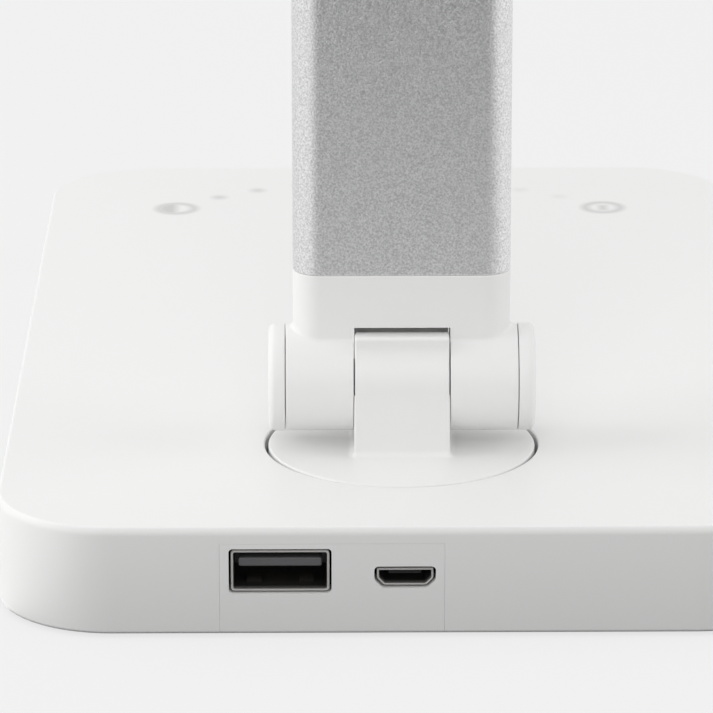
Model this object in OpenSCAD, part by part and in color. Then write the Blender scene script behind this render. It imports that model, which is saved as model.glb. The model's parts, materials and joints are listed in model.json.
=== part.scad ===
// Folding LED desk lamp: flat charging base, swivel disc, barrel hinge, slim arm and a bar head.
// Millimetres, +Z up. The origin is on the desk, under the middle of the base.
// -Y is the user's side, with the touch marks; +Y is the rear, with the sockets.

/* [Base] */
// Width of the base, side to side
base_w = 110; // [104:1:140]
// Depth of the base, front to rear
base_d = 178; // [174:1:220]
// Height of the base shell, without the pad under it
base_h = 15; // [15:0.5:18]
// Radius of the base's upright corners
base_corner_r = 16; // [12:1:20]
// Radius of the rounded upper edge
base_edge_r = 1.25; // [1:0.25:2.5]
// Thickness of the shell's side walls
base_wall = 2; // [1.6:0.1:2.4]
// Thickness of the shell's top
top_wall = 2; // [1.6:0.1:2.4]
// Thickness of the bottom cover
cover_t = 2.8; // [2.6:0.1:3]
// Width of the gap round the bottom cover and the port plate
cover_gap = 0.12; // [0.08:0.02:0.2]
// Inset of the pad from the base's outline
pad_inset = 4; // [3.5:0.25:5]
// Thickness of the pad under the base
pad_t = 1.4; // [1.2:0.1:1.6]
// How far the pad stands out below the shell
pad_stand = 0.4; // [0.3:0.1:0.6]
// Distance of the corner screws from the base's sides
screw_inset = 10; // [9.5:0.5:12]
// Distance of the side screws from the base's sides
side_screw_inset = 7.5; // [7:0.25:8]
// Radius of the screw bosses
boss_r = 3; // [2.6:0.1:3.4]
// Radius of the screws' threads
screw_r = 1.1; // [1:0.05:1.3]
// Radius of the screws' heads
screw_head_r = 2; // [1.8:0.1:2.2]
// Height of the screws' heads
screw_head_h = 0.9; // [0.7:0.1:1]
// Length of the cover screws under the head
screw_len = 7; // [5:0.5:8]

/* [Ports] */
// Width of the port plate's rim outside the sockets' openings
port_rim = 1.15; // [0.9:0.05:3]
// Height of the port plate's rim over the charging socket's opening
port_top_rim = 0.7; // [0.5:0.05:0.75]
// How far the plate's inner flange reaches past its opening
port_flange = 1.6; // [1.2:0.1:2]
// Thickness of the plate's inner flange
flange_t = 1; // [0.8:0.1:1.2]
// Gap round each socket in the port plate
socket_gap = 0.35; // [0.25:0.05:0.5]
// How far the sockets' mouths sit in from the rear face
socket_recess = 0.4; // [0.2:0.1:0.8]
// Middle of the full-size charging socket, from the base's middle
usb_x = 16.64; // [15:0.02:17]
// Height of the charging socket's underside over the shell's lower edge
usb_z = 5.96; // [5.8:0.02:6.2]
// Width of the charging socket's metal shell
usb_w = 13.1; // [12.9:0.1:13.3]
// Height of the charging socket's metal shell
usb_h = 5.75; // [5.6:0.05:5.9]
// Depth of the charging socket
usb_depth = 14; // [13:0.5:18]
// Sheet thickness of the charging socket
usb_sheet = 0.35; // [0.3:0.05:0.4]
// Width of the charging socket's tongue
tongue_w = 11.1; // [10.8:0.1:11.4]
// Thickness of the charging socket's tongue
tongue_t = 1.84; // [1.6:0.04:2]
// Height of the tongue's underside over the metal shell's underside
tongue_rise = 3.1; // [2.9:0.05:3.2]
// How far the tongue's end lies behind the socket's mouth
tongue_back = 1; // [0.6:0.1:1.6]
// Middle of the small inlet, from the base's middle
inlet_x = 0.05; // [-0.5:0.05:1]
// Height of the small inlet's underside over the shell's lower edge
inlet_z = 6.75; // [6.6:0.05:7]
// Width of the small inlet's metal shell
inlet_w = 7.5; // [7.3:0.1:7.7]
// Height of the small inlet's metal shell
inlet_h = 2.4; // [2.3:0.05:2.6]
// Slope cut from each lower corner of the small inlet
inlet_cut = 0.95; // [0.8:0.05:1.1]
// Depth of the small inlet
inlet_depth = 5.6; // [5:0.1:6.5]

/* [Electronics] */
// Width of the main circuit board
board_w = 64; // [60:1:66]
// Middle of the main circuit board, from the base's middle
board_x = 2; // [1:0.5:3]
// Depth of the main circuit board, front to rear
board_d = 21.8; // [20.5:0.1:21.8]
// Thickness of the circuit boards in the base
board_t = 1.2; // [1:0.1:1.4]
// Inset of the board's screws from its edges
board_screw_inset = 3; // [2.8:0.1:3.5]
// Width of the ballast plate
ballast_w = 86; // [70:1:88]
// Depth of the ballast plate, front to rear
ballast_d = 102; // [80:1:102]
// Thickness of the ballast plate
ballast_t = 3; // [2:0.25:3.25]
// Distance of the ballast's middle from the base's front
ballast_in = 66; // [65:0.5:67]
// Gap round the screw bosses in the ballast plate
boss_gap = 1; // [0.5:0.1:1.2]
// Width of the battery
battery_w = 60; // [50:1:70]
// Depth of the battery, front to rear
battery_d = 80; // [60:1:84]
// Thickness of the battery
battery_t = 5.6; // [4:0.2:6]
// Distance of the battery's middle behind the ballast's middle
battery_back = 5; // [3:0.5:8]
// Width of the touch board
touch_w = 80; // [74:1:82]
// Depth of the touch board, front to rear
touch_d = 24; // [20:1:26]
// Distance of the touch board's middle from the base's front
touch_in = 19; // [18:0.5:22]
// Width of the touch board's flat ribbon
touch_ribbon_w = 5; // [4:0.5:5]
// Thickness of the touch board's flat ribbon
touch_ribbon_t = 0.3; // [0.2:0.05:0.4]
// Length of the ribbon's ends on the two boards
touch_ribbon_land = 3; // [2:0.5:5]
// Run of the ribbon's slope down to the main board
touch_ribbon_slope = 4.5; // [4:0.25:5]
// Side of the largest chip on the main board
chip_side = 7; // [5:0.5:7.5]
// Height of the chips on the main board
chip_h = 1.1; // [0.8:0.1:1.4]

/* [Swivel] */
// Distance of the swivel's middle from the rear face
swivel_in = 35; // [34.6:0.1:38]
// Radius of the swivel disc
disc_r = 18.5; // [17:0.1:19]
// Thickness of the swivel disc
disc_t = 3; // [2.6:0.1:3.2]
// Gap round the swivel disc
disc_gap = 0.5; // [0.4:0.05:0.8]
// Thickness of the slip washer under the disc
slip_t = 0.5; // [0.4:0.1:0.8]
// Radius of the slip washer
slip_r = 13; // [11:0.5:13]
// Thickness of the floor under the disc
well_floor = 2; // [1.6:0.1:2.2]
// Length of the bearing boss below that floor
well_boss = 2; // [1.6:0.1:2.2]
// Radius of the swivel's spindle
spindle_r = 5; // [4.6:0.1:5.2]
// Radius of the wire way through the spindle
spindle_bore_r = 3; // [2.5:0.1:3.2]
// How far the spindle reaches up into the disc and its pedestal
spindle_socket = 5; // [4:0.5:5.5]
// Wall of the swivel's bearing bush
bush_wall = 1.5; // [1.2:0.1:1.8]
// Running clearance of pins and spindles in their bores, on the radius
run_clear = 0.05; // [0.03:0.01:0.08]
// Clearance of what is pressed or glued in place, on each side
fixed_clear = 0.02; // [0.01:0.01:0.04]
// Thickness of the wave washer under the boss
wave_t = 0.5; // [0.4:0.1:0.6]
// Height of the swivel's nut
swivel_nut_h = 2.6; // [2:0.1:2.8]
// Width across the swivel nut's flats
swivel_nut_af = 15; // [14:0.5:16]
// How far the swivel turns each way before its lug meets the groove's end
swivel_turn = 90; // [45:5:90]
// Radius of the stop lug under the disc
lug_r = 1; // [0.8:0.1:1.2]
// Distance of the stop lug from the swivel's middle
lug_at = 15.8; // [15.5:0.1:16]

/* [Hinges] */
// Radius of the hinge barrels
barrel_r = 7.45; // [7.2:0.05:7.8]
// Length of a hinge barrel over its end caps
barrel_len = 36.8; // [35:0.2:42]
// Thickness of an end cap outside the barrel
cap_t = 2.3; // [1.8:0.1:2.6]
// Gap between an end cap and the barrel
cap_gap = 0.1; // [0.05:0.05:0.2]
// Width of the centre knuckle between the barrel's halves
knuckle_w = 12.9; // [12:0.1:14]
// Gap on each side of the centre knuckle
knuckle_gap = 0.27; // [0.2:0.01:0.4]
// How much wider the pedestal is than the knuckle, on each side
pedestal_step = 0.15; // [0.1:0.01:0.18]
// How far below the pin the pedestal starts
pedestal_drop = 0.3; // [0.2:0.1:2]
// Height of the lower hinge pin over the base's top
hinge_rise = 9.25; // [9:0.05:10]
// Distance of the lower hinge pin forward of the swivel's middle
hinge_forward = 1.3; // [0.8:0.1:1.6]
// Distance of the knuckle's rear lip behind the pin
lip_back = 5.6; // [5:0.1:5.7]
// Height of the knuckle's rear lip over the pin
lip_rise = 7.35; // [7.2:0.05:7.4]
// Rounding of the rear lip's corner
lip_r = 0.5; // [0.4:0.1:0.8]
// Distance of the fork's slot end from the pin
slot_reach = 8.23; // [8.1:0.01:9]
// Radius of the hinge pins
pin_r = 2.5; // [2:0.1:2.8]
// Length of the hinge pins
pin_len = 30.4; // [30:0.2:30.6]
// Radius of the pocket in each end of a barrel
pocket_r = 5.5; // [5.3:0.1:5.8]
// Thickness of the pocket's wall next to the knuckle
pocket_wall = 3.3; // [3:0.1:3.5]
// Thickness of a friction washer
washer_t = 0.8; // [0.6:0.1:0.9]
// Thickness of the pair of cup springs on each end of a pin
spring_t = 1; // [0.8:0.1:1]
// Height of a hinge nut
hinge_nut_h = 2.6; // [2.2:0.1:2.8]
// Width across a hinge nut's flats
hinge_nut_af = 8; // [7.5:0.5:8.5]

/* [Arm] */
// Distance between the two hinge pins
arm_len = 290; // [200:5:400]
// Width of the arm
arm_w = 30; // [28:0.5:32]
// Thickness of the arm
arm_t = 7.6; // [7:0.1:7.8]
// Wall of the arm's tube
arm_wall = 1; // [0.8:0.1:1.2]
// Distance of the tube's end from the hinge pin
collar_h = 15.7; // [14:0.1:20]
// Length of the spigot inside the tube
spigot_len = 14; // [10:1:20]
// Gap round the spigot inside the tube
spigot_gap = 0.1; // [0.05:0.05:0.15]
// Width of the wire way through the arm's ends
wire_w = 8; // [6:0.5:9]
// Thickness of the wire way through the arm's ends
wire_t = 2.6; // [2:0.1:2.8]
// Width of the flat wire
ribbon_w = 6; // [4:0.5:7]
// Thickness of the flat wire
ribbon_t = 1.2; // [0.8:0.1:1.4]

/* [Head] */
// Reach of the head from the upper hinge pin
head_reach = 245; // [180:5:280]
// Width of the head
head_w = 36; // [35:0.5:42]
// Thickness of the head
head_t = 6.6; // [6.4:0.1:8]
// Gap between the closed head and the arm
head_gap = 0.5; // [0.4:0.05:1]
// Distance of the head's root from the upper hinge pin
root_start = 7.6; // [7.4:0.1:8.4]
// Length of the head's moulded root
root_len = 14.5; // [12:0.5:20]
// Length of the root's and end cap's spigots in the head's shell
head_spigot = 9; // [7:0.5:12]
// Length of the end cap outside the head's shell
tip_len = 4; // [3:0.5:6]
// Wall of the head's shell over the light panel
head_roof = 1.1; // [0.9:0.1:1.2]
// Wall of the head's shell at its sides, next to the diffuser
head_side = 2.5; // [2.2:0.1:3]
// Thickness of the diffuser
diffuser_t = 1.5; // [1.2:0.1:1.7]
// Thickness of the light board
led_board_t = 1; // [0.8:0.1:1]
// Thickness of the light chips
led_t = 0.7; // [0.5:0.1:0.8]
// Light chips in each row
led_count = 22; // [12:1:30]
// Distance between the two rows of light chips
led_rows_apart = 13; // [10:1:16]
// Wall of the frame between the light board and the diffuser
frame_wall = 1.6; // [1.2:0.1:2]

/* [Hidden] */

$fn = 64;
lap = 1;            // how far a cutting shape runs past what it cuts
hull_fn = 64;       // sides of the round outlines of shells and tubes
plastic = "#f2f2f0";
silver = "#c4c6c8";
steel = "#a9abae";
green = "#2f6b3f";
dark = "#26272a";

// Heights in the base
z_under = pad_stand;
z_top = z_under + base_h;
z_floor = z_under + cover_t;
z_roof = z_top - top_wall;
z_board = z_under + usb_z;
pad_sink = pad_t - pad_stand;

// The swivel
swivel_y = base_d/2 - swivel_in;
z_well = z_top - disc_t - slip_t;
z_boss = z_well - well_floor - well_boss;
well_r = disc_r + disc_gap;
bush_r = spindle_r + run_clear + bush_wall;
lug_drop = slip_t + 1;
spindle_end = z_boss - wave_t - swivel_nut_h - 0.4;

// The hinges
lower_y = swivel_y - hinge_forward;
lower_z = z_top + hinge_rise;
upper_z = lower_z + arm_len;
half_in = knuckle_w/2 + knuckle_gap;
half_out = barrel_len/2 - cap_t - cap_gap;
pocket_x = half_in + pocket_wall;
cap_spigot_r = pocket_r - fixed_clear;
cap_spigot_h = 0.7;

// The head, forward of the upper pin and over it
head_low = arm_t/2 + head_gap;
head_high = head_low + head_t;
shell_start = root_start + root_len;
shell_end = head_reach - tip_len;
cavity_w = head_w - 2*head_side;
diffuser_top = head_low + diffuser_t;
roof_low = head_high - head_roof;
way_low = head_low + 1.6;
led_board_low = roof_low - led_board_t;
light_start = shell_start + head_spigot + 0.3;
light_end = shell_end - head_spigot - 0.3;

// The ports
port_left = inlet_x - inlet_w/2 - socket_gap - port_rim;
port_right = usb_x + usb_w/2 + socket_gap + port_rim;
port_high = z_board + usb_h + socket_gap + port_top_rim;

// The electronics
board_y = base_d/2 - base_wall - flange_t - 0.2 - board_d/2;
ballast_y = -base_d/2 + ballast_in;
battery_y = ballast_y + battery_back;
battery_z = z_floor + ballast_t;
touch_y = -base_d/2 + touch_in;
lead_x = -20;       // the battery's leads, beside the swivel's nut
ribbon_x = (well_r + base_wall + board_x + board_w/2 - board_screw_inset - screw_head_r)/2;

function corner_screws() = [for (sx = [-1, 1], sy = [-1, 1])
    [sx*(base_w/2 - screw_inset), sy*(base_d/2 - screw_inset)]];
function side_screws() = [for (sx = [-1, 1]) [sx*(base_w/2 - side_screw_inset), 0]];
function cover_screws() = concat(corner_screws(), side_screws());
function board_screw_places() = [for (sx = [-1, 1], sy = [-1, 1])
    [board_x + sx*(board_w/2 - board_screw_inset), board_y + sy*(board_d/2 - board_screw_inset)]];

// A flat outline with round corners, centred
module round_rect(w, d, r) {
    hull()
        for (sx = [-1, 1], sy = [-1, 1])
            translate([sx*(w/2 - r), sy*(d/2 - r)])
                circle(r, $fn = hull_fn);
}

// A flat outline with half-round ends, as wide as w and as thick as t
module stadium(w, t) {
    hull()
        for (s = [-1, 1])
            translate([s*(w - t)/2, 0])
                circle(d = t, $fn = hull_fn);
}

// A cylinder along X, between two distances from the middle
module bar_x(r, from, to) {
    translate([from, 0, 0])
        rotate([0, 90, 0])
            cylinder(r = r, h = to - from);
}

// The same shape on both sides of the middle
module both_sides() {
    for (s = [0, 1])
        mirror([s, 0, 0])
            children();
}

module at_swivel(z) {
    translate([0, swivel_y, z])
        children();
}

module at_lower() {
    translate([0, lower_y, lower_z])
        children();
}

module at_upper() {
    translate([0, lower_y, upper_z])
        children();
}

// A flat ring
module ring(outer, inner, h) {
    difference() {
        cylinder(r = outer, h = h);
        translate([0, 0, -lap])
            cylinder(r = inner, h = h + 2*lap);
    }
}

// A hexagonal nut with a round bore
module hex_nut(af, bore, h) {
    difference() {
        cylinder(r = af/2/cos(30), h = h, $fn = 6);
        translate([0, 0, -lap])
            cylinder(r = bore, h = h + 2*lap);
    }
}

// A pan-head screw that points up, with its head's seat at z = 0
module screw_up(len) {
    translate([0, 0, -screw_head_h])
        cylinder(r = screw_head_r, h = screw_head_h);
    cylinder(r = screw_r, h = len);
}

// One corner of the base's body: an upright post whose upper edge is rounded
module corner_post() {
    e = base_edge_r;
    r = base_corner_r;
    rotate_extrude($fn = 96)
        polygon(concat([[0, 0], [r, 0]],
            [for (a = [0 : 11.25 : 90]) [r - e + e*cos(a), base_h - e + e*sin(a)]],
            [[0, base_h]]));
}

module base_body() {
    translate([0, 0, z_under])
        hull()
            for (sx = [-1, 1], sy = [-1, 1])
                translate([sx*(base_w/2 - base_corner_r), sy*(base_d/2 - base_corner_r), 0])
                    corner_post();
}

// A block in the rear wall, as wide as the port plate and grown by g on each side
module port_block(g, low, high, inner, outer) {
    translate([port_left - g, base_d/2 - inner, low])
        cube([port_right - port_left + 2*g, inner - outer, high - low]);
}

module stop_groove() {
    r = lug_r + 0.3;
    rotate([0, 0, -90 - swivel_turn])
        rotate_extrude(angle = 2*swivel_turn)
            translate([lug_at - r, 0])
                square([2*r, lug_drop + lap]);
    for (s = [-1, 1])
        rotate([0, 0, s*swivel_turn - 90])
            translate([lug_at, 0, 0])
                cylinder(r = r, h = lug_drop + lap);
}

module base_top() {
    color(plastic)
        difference() {
            union() {
                difference() {
                    base_body();
                    translate([0, 0, z_under - lap])
                        linear_extrude(z_roof - z_under + lap)
                            round_rect(base_w - 2*base_wall, base_d - 2*base_wall,
                                base_corner_r - base_wall);
                }
                at_swivel(z_well - well_floor)
                    cylinder(r = well_r + base_wall, h = z_roof - z_well + well_floor + 0.5);
                at_swivel(z_boss)
                    cylinder(r = bush_r + base_wall, h = well_boss + 0.5);
                for (p = cover_screws())
                    translate([p[0], p[1], z_floor])
                        cylinder(r = boss_r, h = z_roof - z_floor + 0.5);
            }
            at_swivel(z_well)
                cylinder(r = well_r, h = z_top, $fn = 128);
            at_swivel(z_boss - lap)
                cylinder(r = bush_r + fixed_clear, h = z_top);
            at_swivel(z_well - lug_drop + slip_t - 0.3)
                stop_groove();
            for (p = cover_screws())
                translate([p[0], p[1], z_floor - lap])
                    cylinder(r = screw_r, h = screw_len + 1);
            port_block(cover_gap, z_under - lap, port_high + cover_gap, base_wall + lap/2, -lap);
        }
}

module base_bottom() {
    w = base_w - 2*base_wall - 2*cover_gap;
    d = base_d - 2*base_wall - 2*cover_gap;
    color(plastic)
        difference() {
            union() {
                translate([0, 0, z_under])
                    linear_extrude(cover_t)
                        round_rect(w, d, base_corner_r - base_wall - cover_gap);
                for (p = board_screw_places())
                    translate([p[0], p[1], z_floor - 0.5])
                        cylinder(r = boss_r - 0.4, h = z_board - board_t - z_floor + 0.5);
            }
            translate([0, 0, z_under - lap])
                linear_extrude(pad_sink + lap)
                    round_rect(base_w - 2*pad_inset, base_d - 2*pad_inset,
                        base_corner_r - pad_inset);
            for (p = cover_screws()) {
                translate([p[0], p[1], z_under - lap])
                    cylinder(r = screw_r + 0.2, h = cover_t + 2*lap);
                translate([p[0], p[1], z_under - lap])
                    cylinder(r = screw_head_r + 0.2, h = pad_sink + screw_head_h + lap);
            }
            for (p = board_screw_places())
                translate([p[0], p[1], z_under + pad_sink + 1])
                    cylinder(r = screw_r, h = z_board);
        }
}

module base_pad() {
    color(dark)
        linear_extrude(pad_t - fixed_clear)
            round_rect(base_w - 2*pad_inset - 2*cover_gap, base_d - 2*pad_inset - 2*cover_gap,
                base_corner_r - pad_inset - cover_gap);
}

module base_screws() {
    color(steel)
        for (p = cover_screws())
            translate([p[0], p[1], z_under + pad_sink + screw_head_h])
                screw_up(screw_len);
}

module port_plate() {
    w = usb_w + 2*socket_gap;
    h = usb_h + 2*socket_gap;
    color(plastic)
        difference() {
            union() {
                port_block(0, z_under, port_high, base_wall, 0);
                port_block(port_flange, z_floor + fixed_clear, z_roof - fixed_clear,
                    base_wall + flange_t, base_wall + fixed_clear);
                port_block(0, z_floor + fixed_clear, port_high, base_wall + 0.1, base_wall - 0.1);
            }
            translate([usb_x - w/2, base_d/2 - 2*base_wall, z_under + usb_z - socket_gap])
                cube([w, 3*base_wall, h]);
            translate([inlet_x, base_d/2 + lap, z_under + inlet_z])
                rotate([90, 0, 0])
                    linear_extrude(2*base_wall + lap)
                        inlet_outline(socket_gap);
        }
}

// The small inlet's mouth: a flat box with its two lower corners cut, grown by g
module inlet_outline(g) {
    w = inlet_w/2 + g;
    polygon([[-w, inlet_h + g], [-w, inlet_cut - g/2], [-w + inlet_cut, -g],
        [w - inlet_cut, -g], [w, inlet_cut - g/2], [w, inlet_h + g]]);
}

module usb_a_shell() {
    translate([usb_x - usb_w/2, base_d/2 - socket_recess - usb_depth, z_board])
        color(steel)
            difference() {
                cube([usb_w, usb_depth, usb_h]);
                translate([usb_sheet, -lap, usb_sheet])
                    cube([usb_w - 2*usb_sheet, usb_depth + 2*lap, usb_h - 2*usb_sheet]);
            }
}

module usb_a_tongue() {
    g = usb_sheet + fixed_clear;
    heel = 4;
    translate([usb_x, base_d/2 - socket_recess - usb_depth, z_board])
        color(dark) {
            translate([-usb_w/2 + g, 0, g])
                cube([usb_w - 2*g, heel, usb_h - 2*g]);
            translate([-tongue_w/2, heel - 0.5, tongue_rise])
                cube([tongue_w, usb_depth - tongue_back - heel + 0.5, tongue_t]);
        }
}

module usb_a_contacts() {
    places = [-3.5, -1, 1, 3.5];
    translate([usb_x, base_d/2 - socket_recess - usb_depth, z_board + tongue_rise - 0.2])
        color("gold")
            for (x = places)
                translate([x - 0.5, 4.1, 0])
                    cube([1, usb_depth - tongue_back - 5, 0.2]);
}

module micro_usb_shell() {
    y = base_d/2 - socket_recess;
    color(steel) {
        translate([inlet_x, y, z_under + inlet_z])
            rotate([90, 0, 0])
                linear_extrude(inlet_depth)
                    difference() {
                        inlet_outline(0);
                        offset(delta = -0.3)
                            inlet_outline(0);
                    }
        for (s = [-1, 1])
            translate([inlet_x + s*(inlet_w/2 - 0.15) - 0.15, y - inlet_depth + 0.5, z_board])
                cube([0.3, 2.5, inlet_z - usb_z + inlet_cut + 0.4]);
    }
}

module micro_usb_tongue() {
    color(dark)
        translate([inlet_x, base_d/2 - socket_recess - inlet_depth, z_under + inlet_z]) {
            translate([-inlet_w/2 + inlet_cut + 0.3, 0, 0.3 + fixed_clear])
                cube([inlet_w - 2*inlet_cut - 0.6, 1.2, inlet_h - 0.6 - 2*fixed_clear]);
            translate([-2.2, 0.7, 1.25])
                cube([4.4, inlet_depth - 1.7, 0.6]);
        }
}

module main_board() {
    color(green)
        difference() {
            translate([board_x - board_w/2, board_y - board_d/2, z_board - board_t])
                cube([board_w, board_d, board_t]);
            for (p = board_screw_places())
                translate([p[0], p[1], z_board - board_t - lap])
                    cylinder(r = screw_r + 0.1, h = board_t + 2*lap);
        }
}

// Each chip's place as shares of the board's width and depth, and its side as a share of the largest
module board_chips() {
    chips = [[-0.19, 0.14, 1], [-0.34, 0.23, 0.7], [0.09, -0.28, 0.55]];
    color(dark)
        for (c = chips)
            let (side = c[2]*chip_side)
                translate([board_x + c[0]*board_w - side/2, board_y + c[1]*board_d - side/2, z_board])
                    cube([side, side, chip_h]);
}

module board_coil() {
    side = 7;
    translate([board_x - 4, board_y - 5, z_board])
        color("dimgray") {
            translate([-side/2, -side/2, 0])
                cube([side, side, 0.8]);
            cylinder(r = side/2 - 0.3, h = 3);
        }
}

module battery_socket() {
    translate([lead_x - 3, board_y - board_d/2 + 0.5, z_board])
        color("ivory")
            cube([6, 4.5, 3.4]);
}

module battery_leads() {
    y_from = battery_y + battery_d/2;
    y_to = board_y - board_d/2 + 0.5;
    for (s = [-1, 1])
        translate([lead_x + s*1.2, y_from, z_board + 1.7])
            color(s < 0 ? "firebrick" : "black")
                rotate([-90, 0, 0])
                    cylinder(r = 0.7, h = y_to - y_from);
}

module board_screws() {
    color(steel)
        for (p = board_screw_places())
            translate([p[0], p[1], z_board])
                mirror([0, 0, 1])
                    screw_up(z_board - z_under - pad_sink - 1.4);
}

module battery() {
    translate([-battery_w/2, battery_y - battery_d/2, battery_z])
        color("#b9bdc2")
            cube([battery_w, battery_d, battery_t]);
}

module battery_foam() {
    strip = 14;
    low = battery_z + battery_t;
    for (s = [-1, 1])
        translate([-battery_w/2 + 6, battery_y + s*battery_d/4 - strip/2, low])
            color("gray")
                cube([battery_w - 16, strip, z_roof - low]);
}

// A steel plate, cut back where it would meet a screw boss
module ballast_plate() {
    color(steel)
        difference() {
            translate([-ballast_w/2, ballast_y - ballast_d/2, z_floor])
                cube([ballast_w, ballast_d, ballast_t]);
            for (p = cover_screws())
                translate([p[0], p[1], z_floor - lap])
                    cylinder(r = boss_r + boss_gap, h = ballast_t + 2*lap);
        }
}

module touch_board() {
    translate([-touch_w/2, touch_y - touch_d/2, z_roof - board_t])
        color(green)
            cube([touch_w, touch_d, board_t]);
}

// A flat cable from the touch board's underside, over the battery and down to the main board
module touch_ribbon() {
    t = touch_ribbon_t;
    z_high = z_roof - board_t;
    y_front = touch_y + touch_d/2 - touch_ribbon_land;
    y_bend = board_y - board_d/2 - touch_ribbon_slope/3;
    y_foot = y_bend + touch_ribbon_slope;
    y_end = y_foot + touch_ribbon_land;
    color("white")
        translate([ribbon_x - touch_ribbon_w/2, 0, 0])
            rotate([90, 0, 90])
                linear_extrude(touch_ribbon_w)
                    polygon([[y_front, z_high], [y_bend, z_high], [y_foot, z_board + t],
                        [y_end, z_board + t], [y_end, z_board], [y_foot - t, z_board],
                        [y_bend - t, z_high - t], [y_front, z_high - t]]);
}

module swivel_bush() {
    at_swivel(z_boss)
        color("ivory")
            ring(bush_r, spindle_r + run_clear, z_well - z_boss);
}

module swivel_washer() {
    at_swivel(z_well)
        color("ivory")
            ring(slip_r, spindle_r + 0.3, slip_t);
}

// The knuckle's side view, with the pin at the origin: a round eye on a straight pedestal
module knuckle_side() {
    circle(barrel_r, $fn = 128);
    translate([-barrel_r, -hinge_rise - disc_t/2])
        square([2*barrel_r, hinge_rise + disc_t/2]);
    offset(r = lip_r, $fn = 48)
        offset(delta = -lip_r)
            square([lip_back, lip_rise]);
}

// The pedestal's side view: it nearly fills the fork's slot, from just below the pin down
module pedestal_side() {
    translate([-barrel_r, -hinge_rise - disc_t/2])
        square([2*barrel_r, hinge_rise + disc_t/2 - pedestal_drop]);
}

// A side view, drawn as rear and up, made w wide across the middle
module across(w) {
    translate([-w/2, 0, 0])
        rotate([90, 0, 90])
            linear_extrude(w)
                children();
}

module swivel_knuckle() {
    bevel = 0.35;
    way_w = 2*spindle_bore_r;
    way_front = barrel_r - 1.2;
    color(plastic)
        difference() {
            union() {
                at_swivel(z_top - disc_t)
                    rotate_extrude($fn = 128)
                        polygon([[0, 0], [disc_r, 0], [disc_r, disc_t - bevel],
                            [disc_r - bevel, disc_t], [0, disc_t]]);
                at_lower() {
                    across(knuckle_w)
                        knuckle_side();
                    across(knuckle_w + 2*pedestal_step)
                        pedestal_side();
                }
                at_swivel(z_top - disc_t - lug_drop + 0.3)
                    translate([0, -lug_at, 0])
                        cylinder(r = lug_r, h = lug_drop);
            }
            at_lower()
                bar_x(pin_r + fixed_clear, -knuckle_w, knuckle_w);
            at_swivel(z_top - disc_t - lap)
                cylinder(r = spindle_r + fixed_clear, h = spindle_socket + lap);
            translate([-way_w/2, lower_y - way_front, z_top - disc_t + spindle_socket - 0.5])
                cube([way_w, way_front + hinge_forward + spindle_bore_r, 2.5]);
            translate([-way_w/2, lower_y - way_front, z_top - disc_t + spindle_socket])
                cube([way_w, way_front - pin_r - 1, hinge_rise + barrel_r]);
        }
}

module swivel_spindle() {
    at_swivel(spindle_end)
        color(steel)
            ring(spindle_r, spindle_bore_r, z_top - disc_t + spindle_socket - spindle_end);
}

module swivel_spring() {
    at_swivel(z_boss - wave_t)
        color(steel)
            ring(bush_r + 1.5, spindle_r + 0.1, wave_t);
}

module swivel_nut() {
    at_swivel(z_boss - wave_t - swivel_nut_h)
        color(steel)
            hex_nut(swivel_nut_af, spindle_r + fixed_clear, swivel_nut_h);
}

// Hinge hardware, the same at both ends of the arm
module hinge_pin() {
    color(steel)
        bar_x(pin_r, -pin_len/2, pin_len/2);
}

// A flat ring on the pin, on both sides, its inner face at x
module pin_rings(x, outer, inner, t) {
    both_sides()
        translate([x, 0, 0])
            rotate([0, 90, 0])
                ring(outer, inner, t);
}

module friction_washers() {
    color("goldenrod")
        pin_rings(pocket_x, pocket_r - 0.3, pin_r + 0.1, washer_t);
}

module cup_springs() {
    color(steel)
        pin_rings(pocket_x + washer_t, pocket_r - 0.6, pin_r + 0.1, spring_t);
}

module hinge_nuts() {
    color(steel)
        both_sides()
            translate([pocket_x + washer_t + spring_t, 0, 0])
                rotate([0, 90, 0])
                    hex_nut(hinge_nut_af, pin_r + fixed_clear, hinge_nut_h);
}

// A barrel's end cap on the +X side, with the pin at the origin
module end_cap() {
    edge = 0.6;
    seat = half_out + cap_gap;
    color(plastic)
        rotate([0, 90, 0])
            difference() {
                union() {
                    translate([0, 0, seat])
                        rotate_extrude($fn = 128)
                            polygon(concat([[0, 0], [barrel_r, 0]],
                                [for (a = [0 : 15 : 90])
                                    [barrel_r - edge + edge*cos(a), cap_t - edge + edge*sin(a)]],
                                [[0, cap_t]]));
                    translate([0, 0, seat - cap_gap - cap_spigot_h])
                        cylinder(r = cap_spigot_r, h = cap_spigot_h + cap_gap + 0.2);
                }
                translate([0, 0, seat - cap_gap - cap_spigot_h - lap])
                    cylinder(r = cap_spigot_r - 0.8, h = cap_spigot_h + lap);
            }
}

// The fork at an end of the arm, with the pin at the origin and the arm going up
module arm_fork() {
    reach = collar_h + spigot_len;
    inner_w = arm_w - 2*arm_wall - 2*spigot_gap;
    inner_t = arm_t - 2*arm_wall - 2*spigot_gap;
    color(plastic)
        difference() {
            union() {
                both_sides()
                    bar_x(barrel_r, half_in, half_out);
                linear_extrude(collar_h - fixed_clear)
                    stadium(arm_w, arm_t);
                translate([0, 0, collar_h - lap])
                    linear_extrude(spigot_len + lap)
                        stadium(inner_w, inner_t);
            }
            translate([-half_in, -2*barrel_r, -lap])
                cube([2*half_in, 4*barrel_r, slot_reach + lap]);
            both_sides() {
                bar_x(pin_r + run_clear, 0, half_out);
                bar_x(pocket_r, pocket_x, half_out + lap);
            }
            translate([-wire_w/2, -wire_t/2, slot_reach - lap])
                cube([wire_w, wire_t, reach + lap]);
        }
}

module arm_foot() {
    at_lower()
        arm_fork();
}

module arm_top() {
    at_upper()
        mirror([0, 0, 1])
            arm_fork();
}

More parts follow.
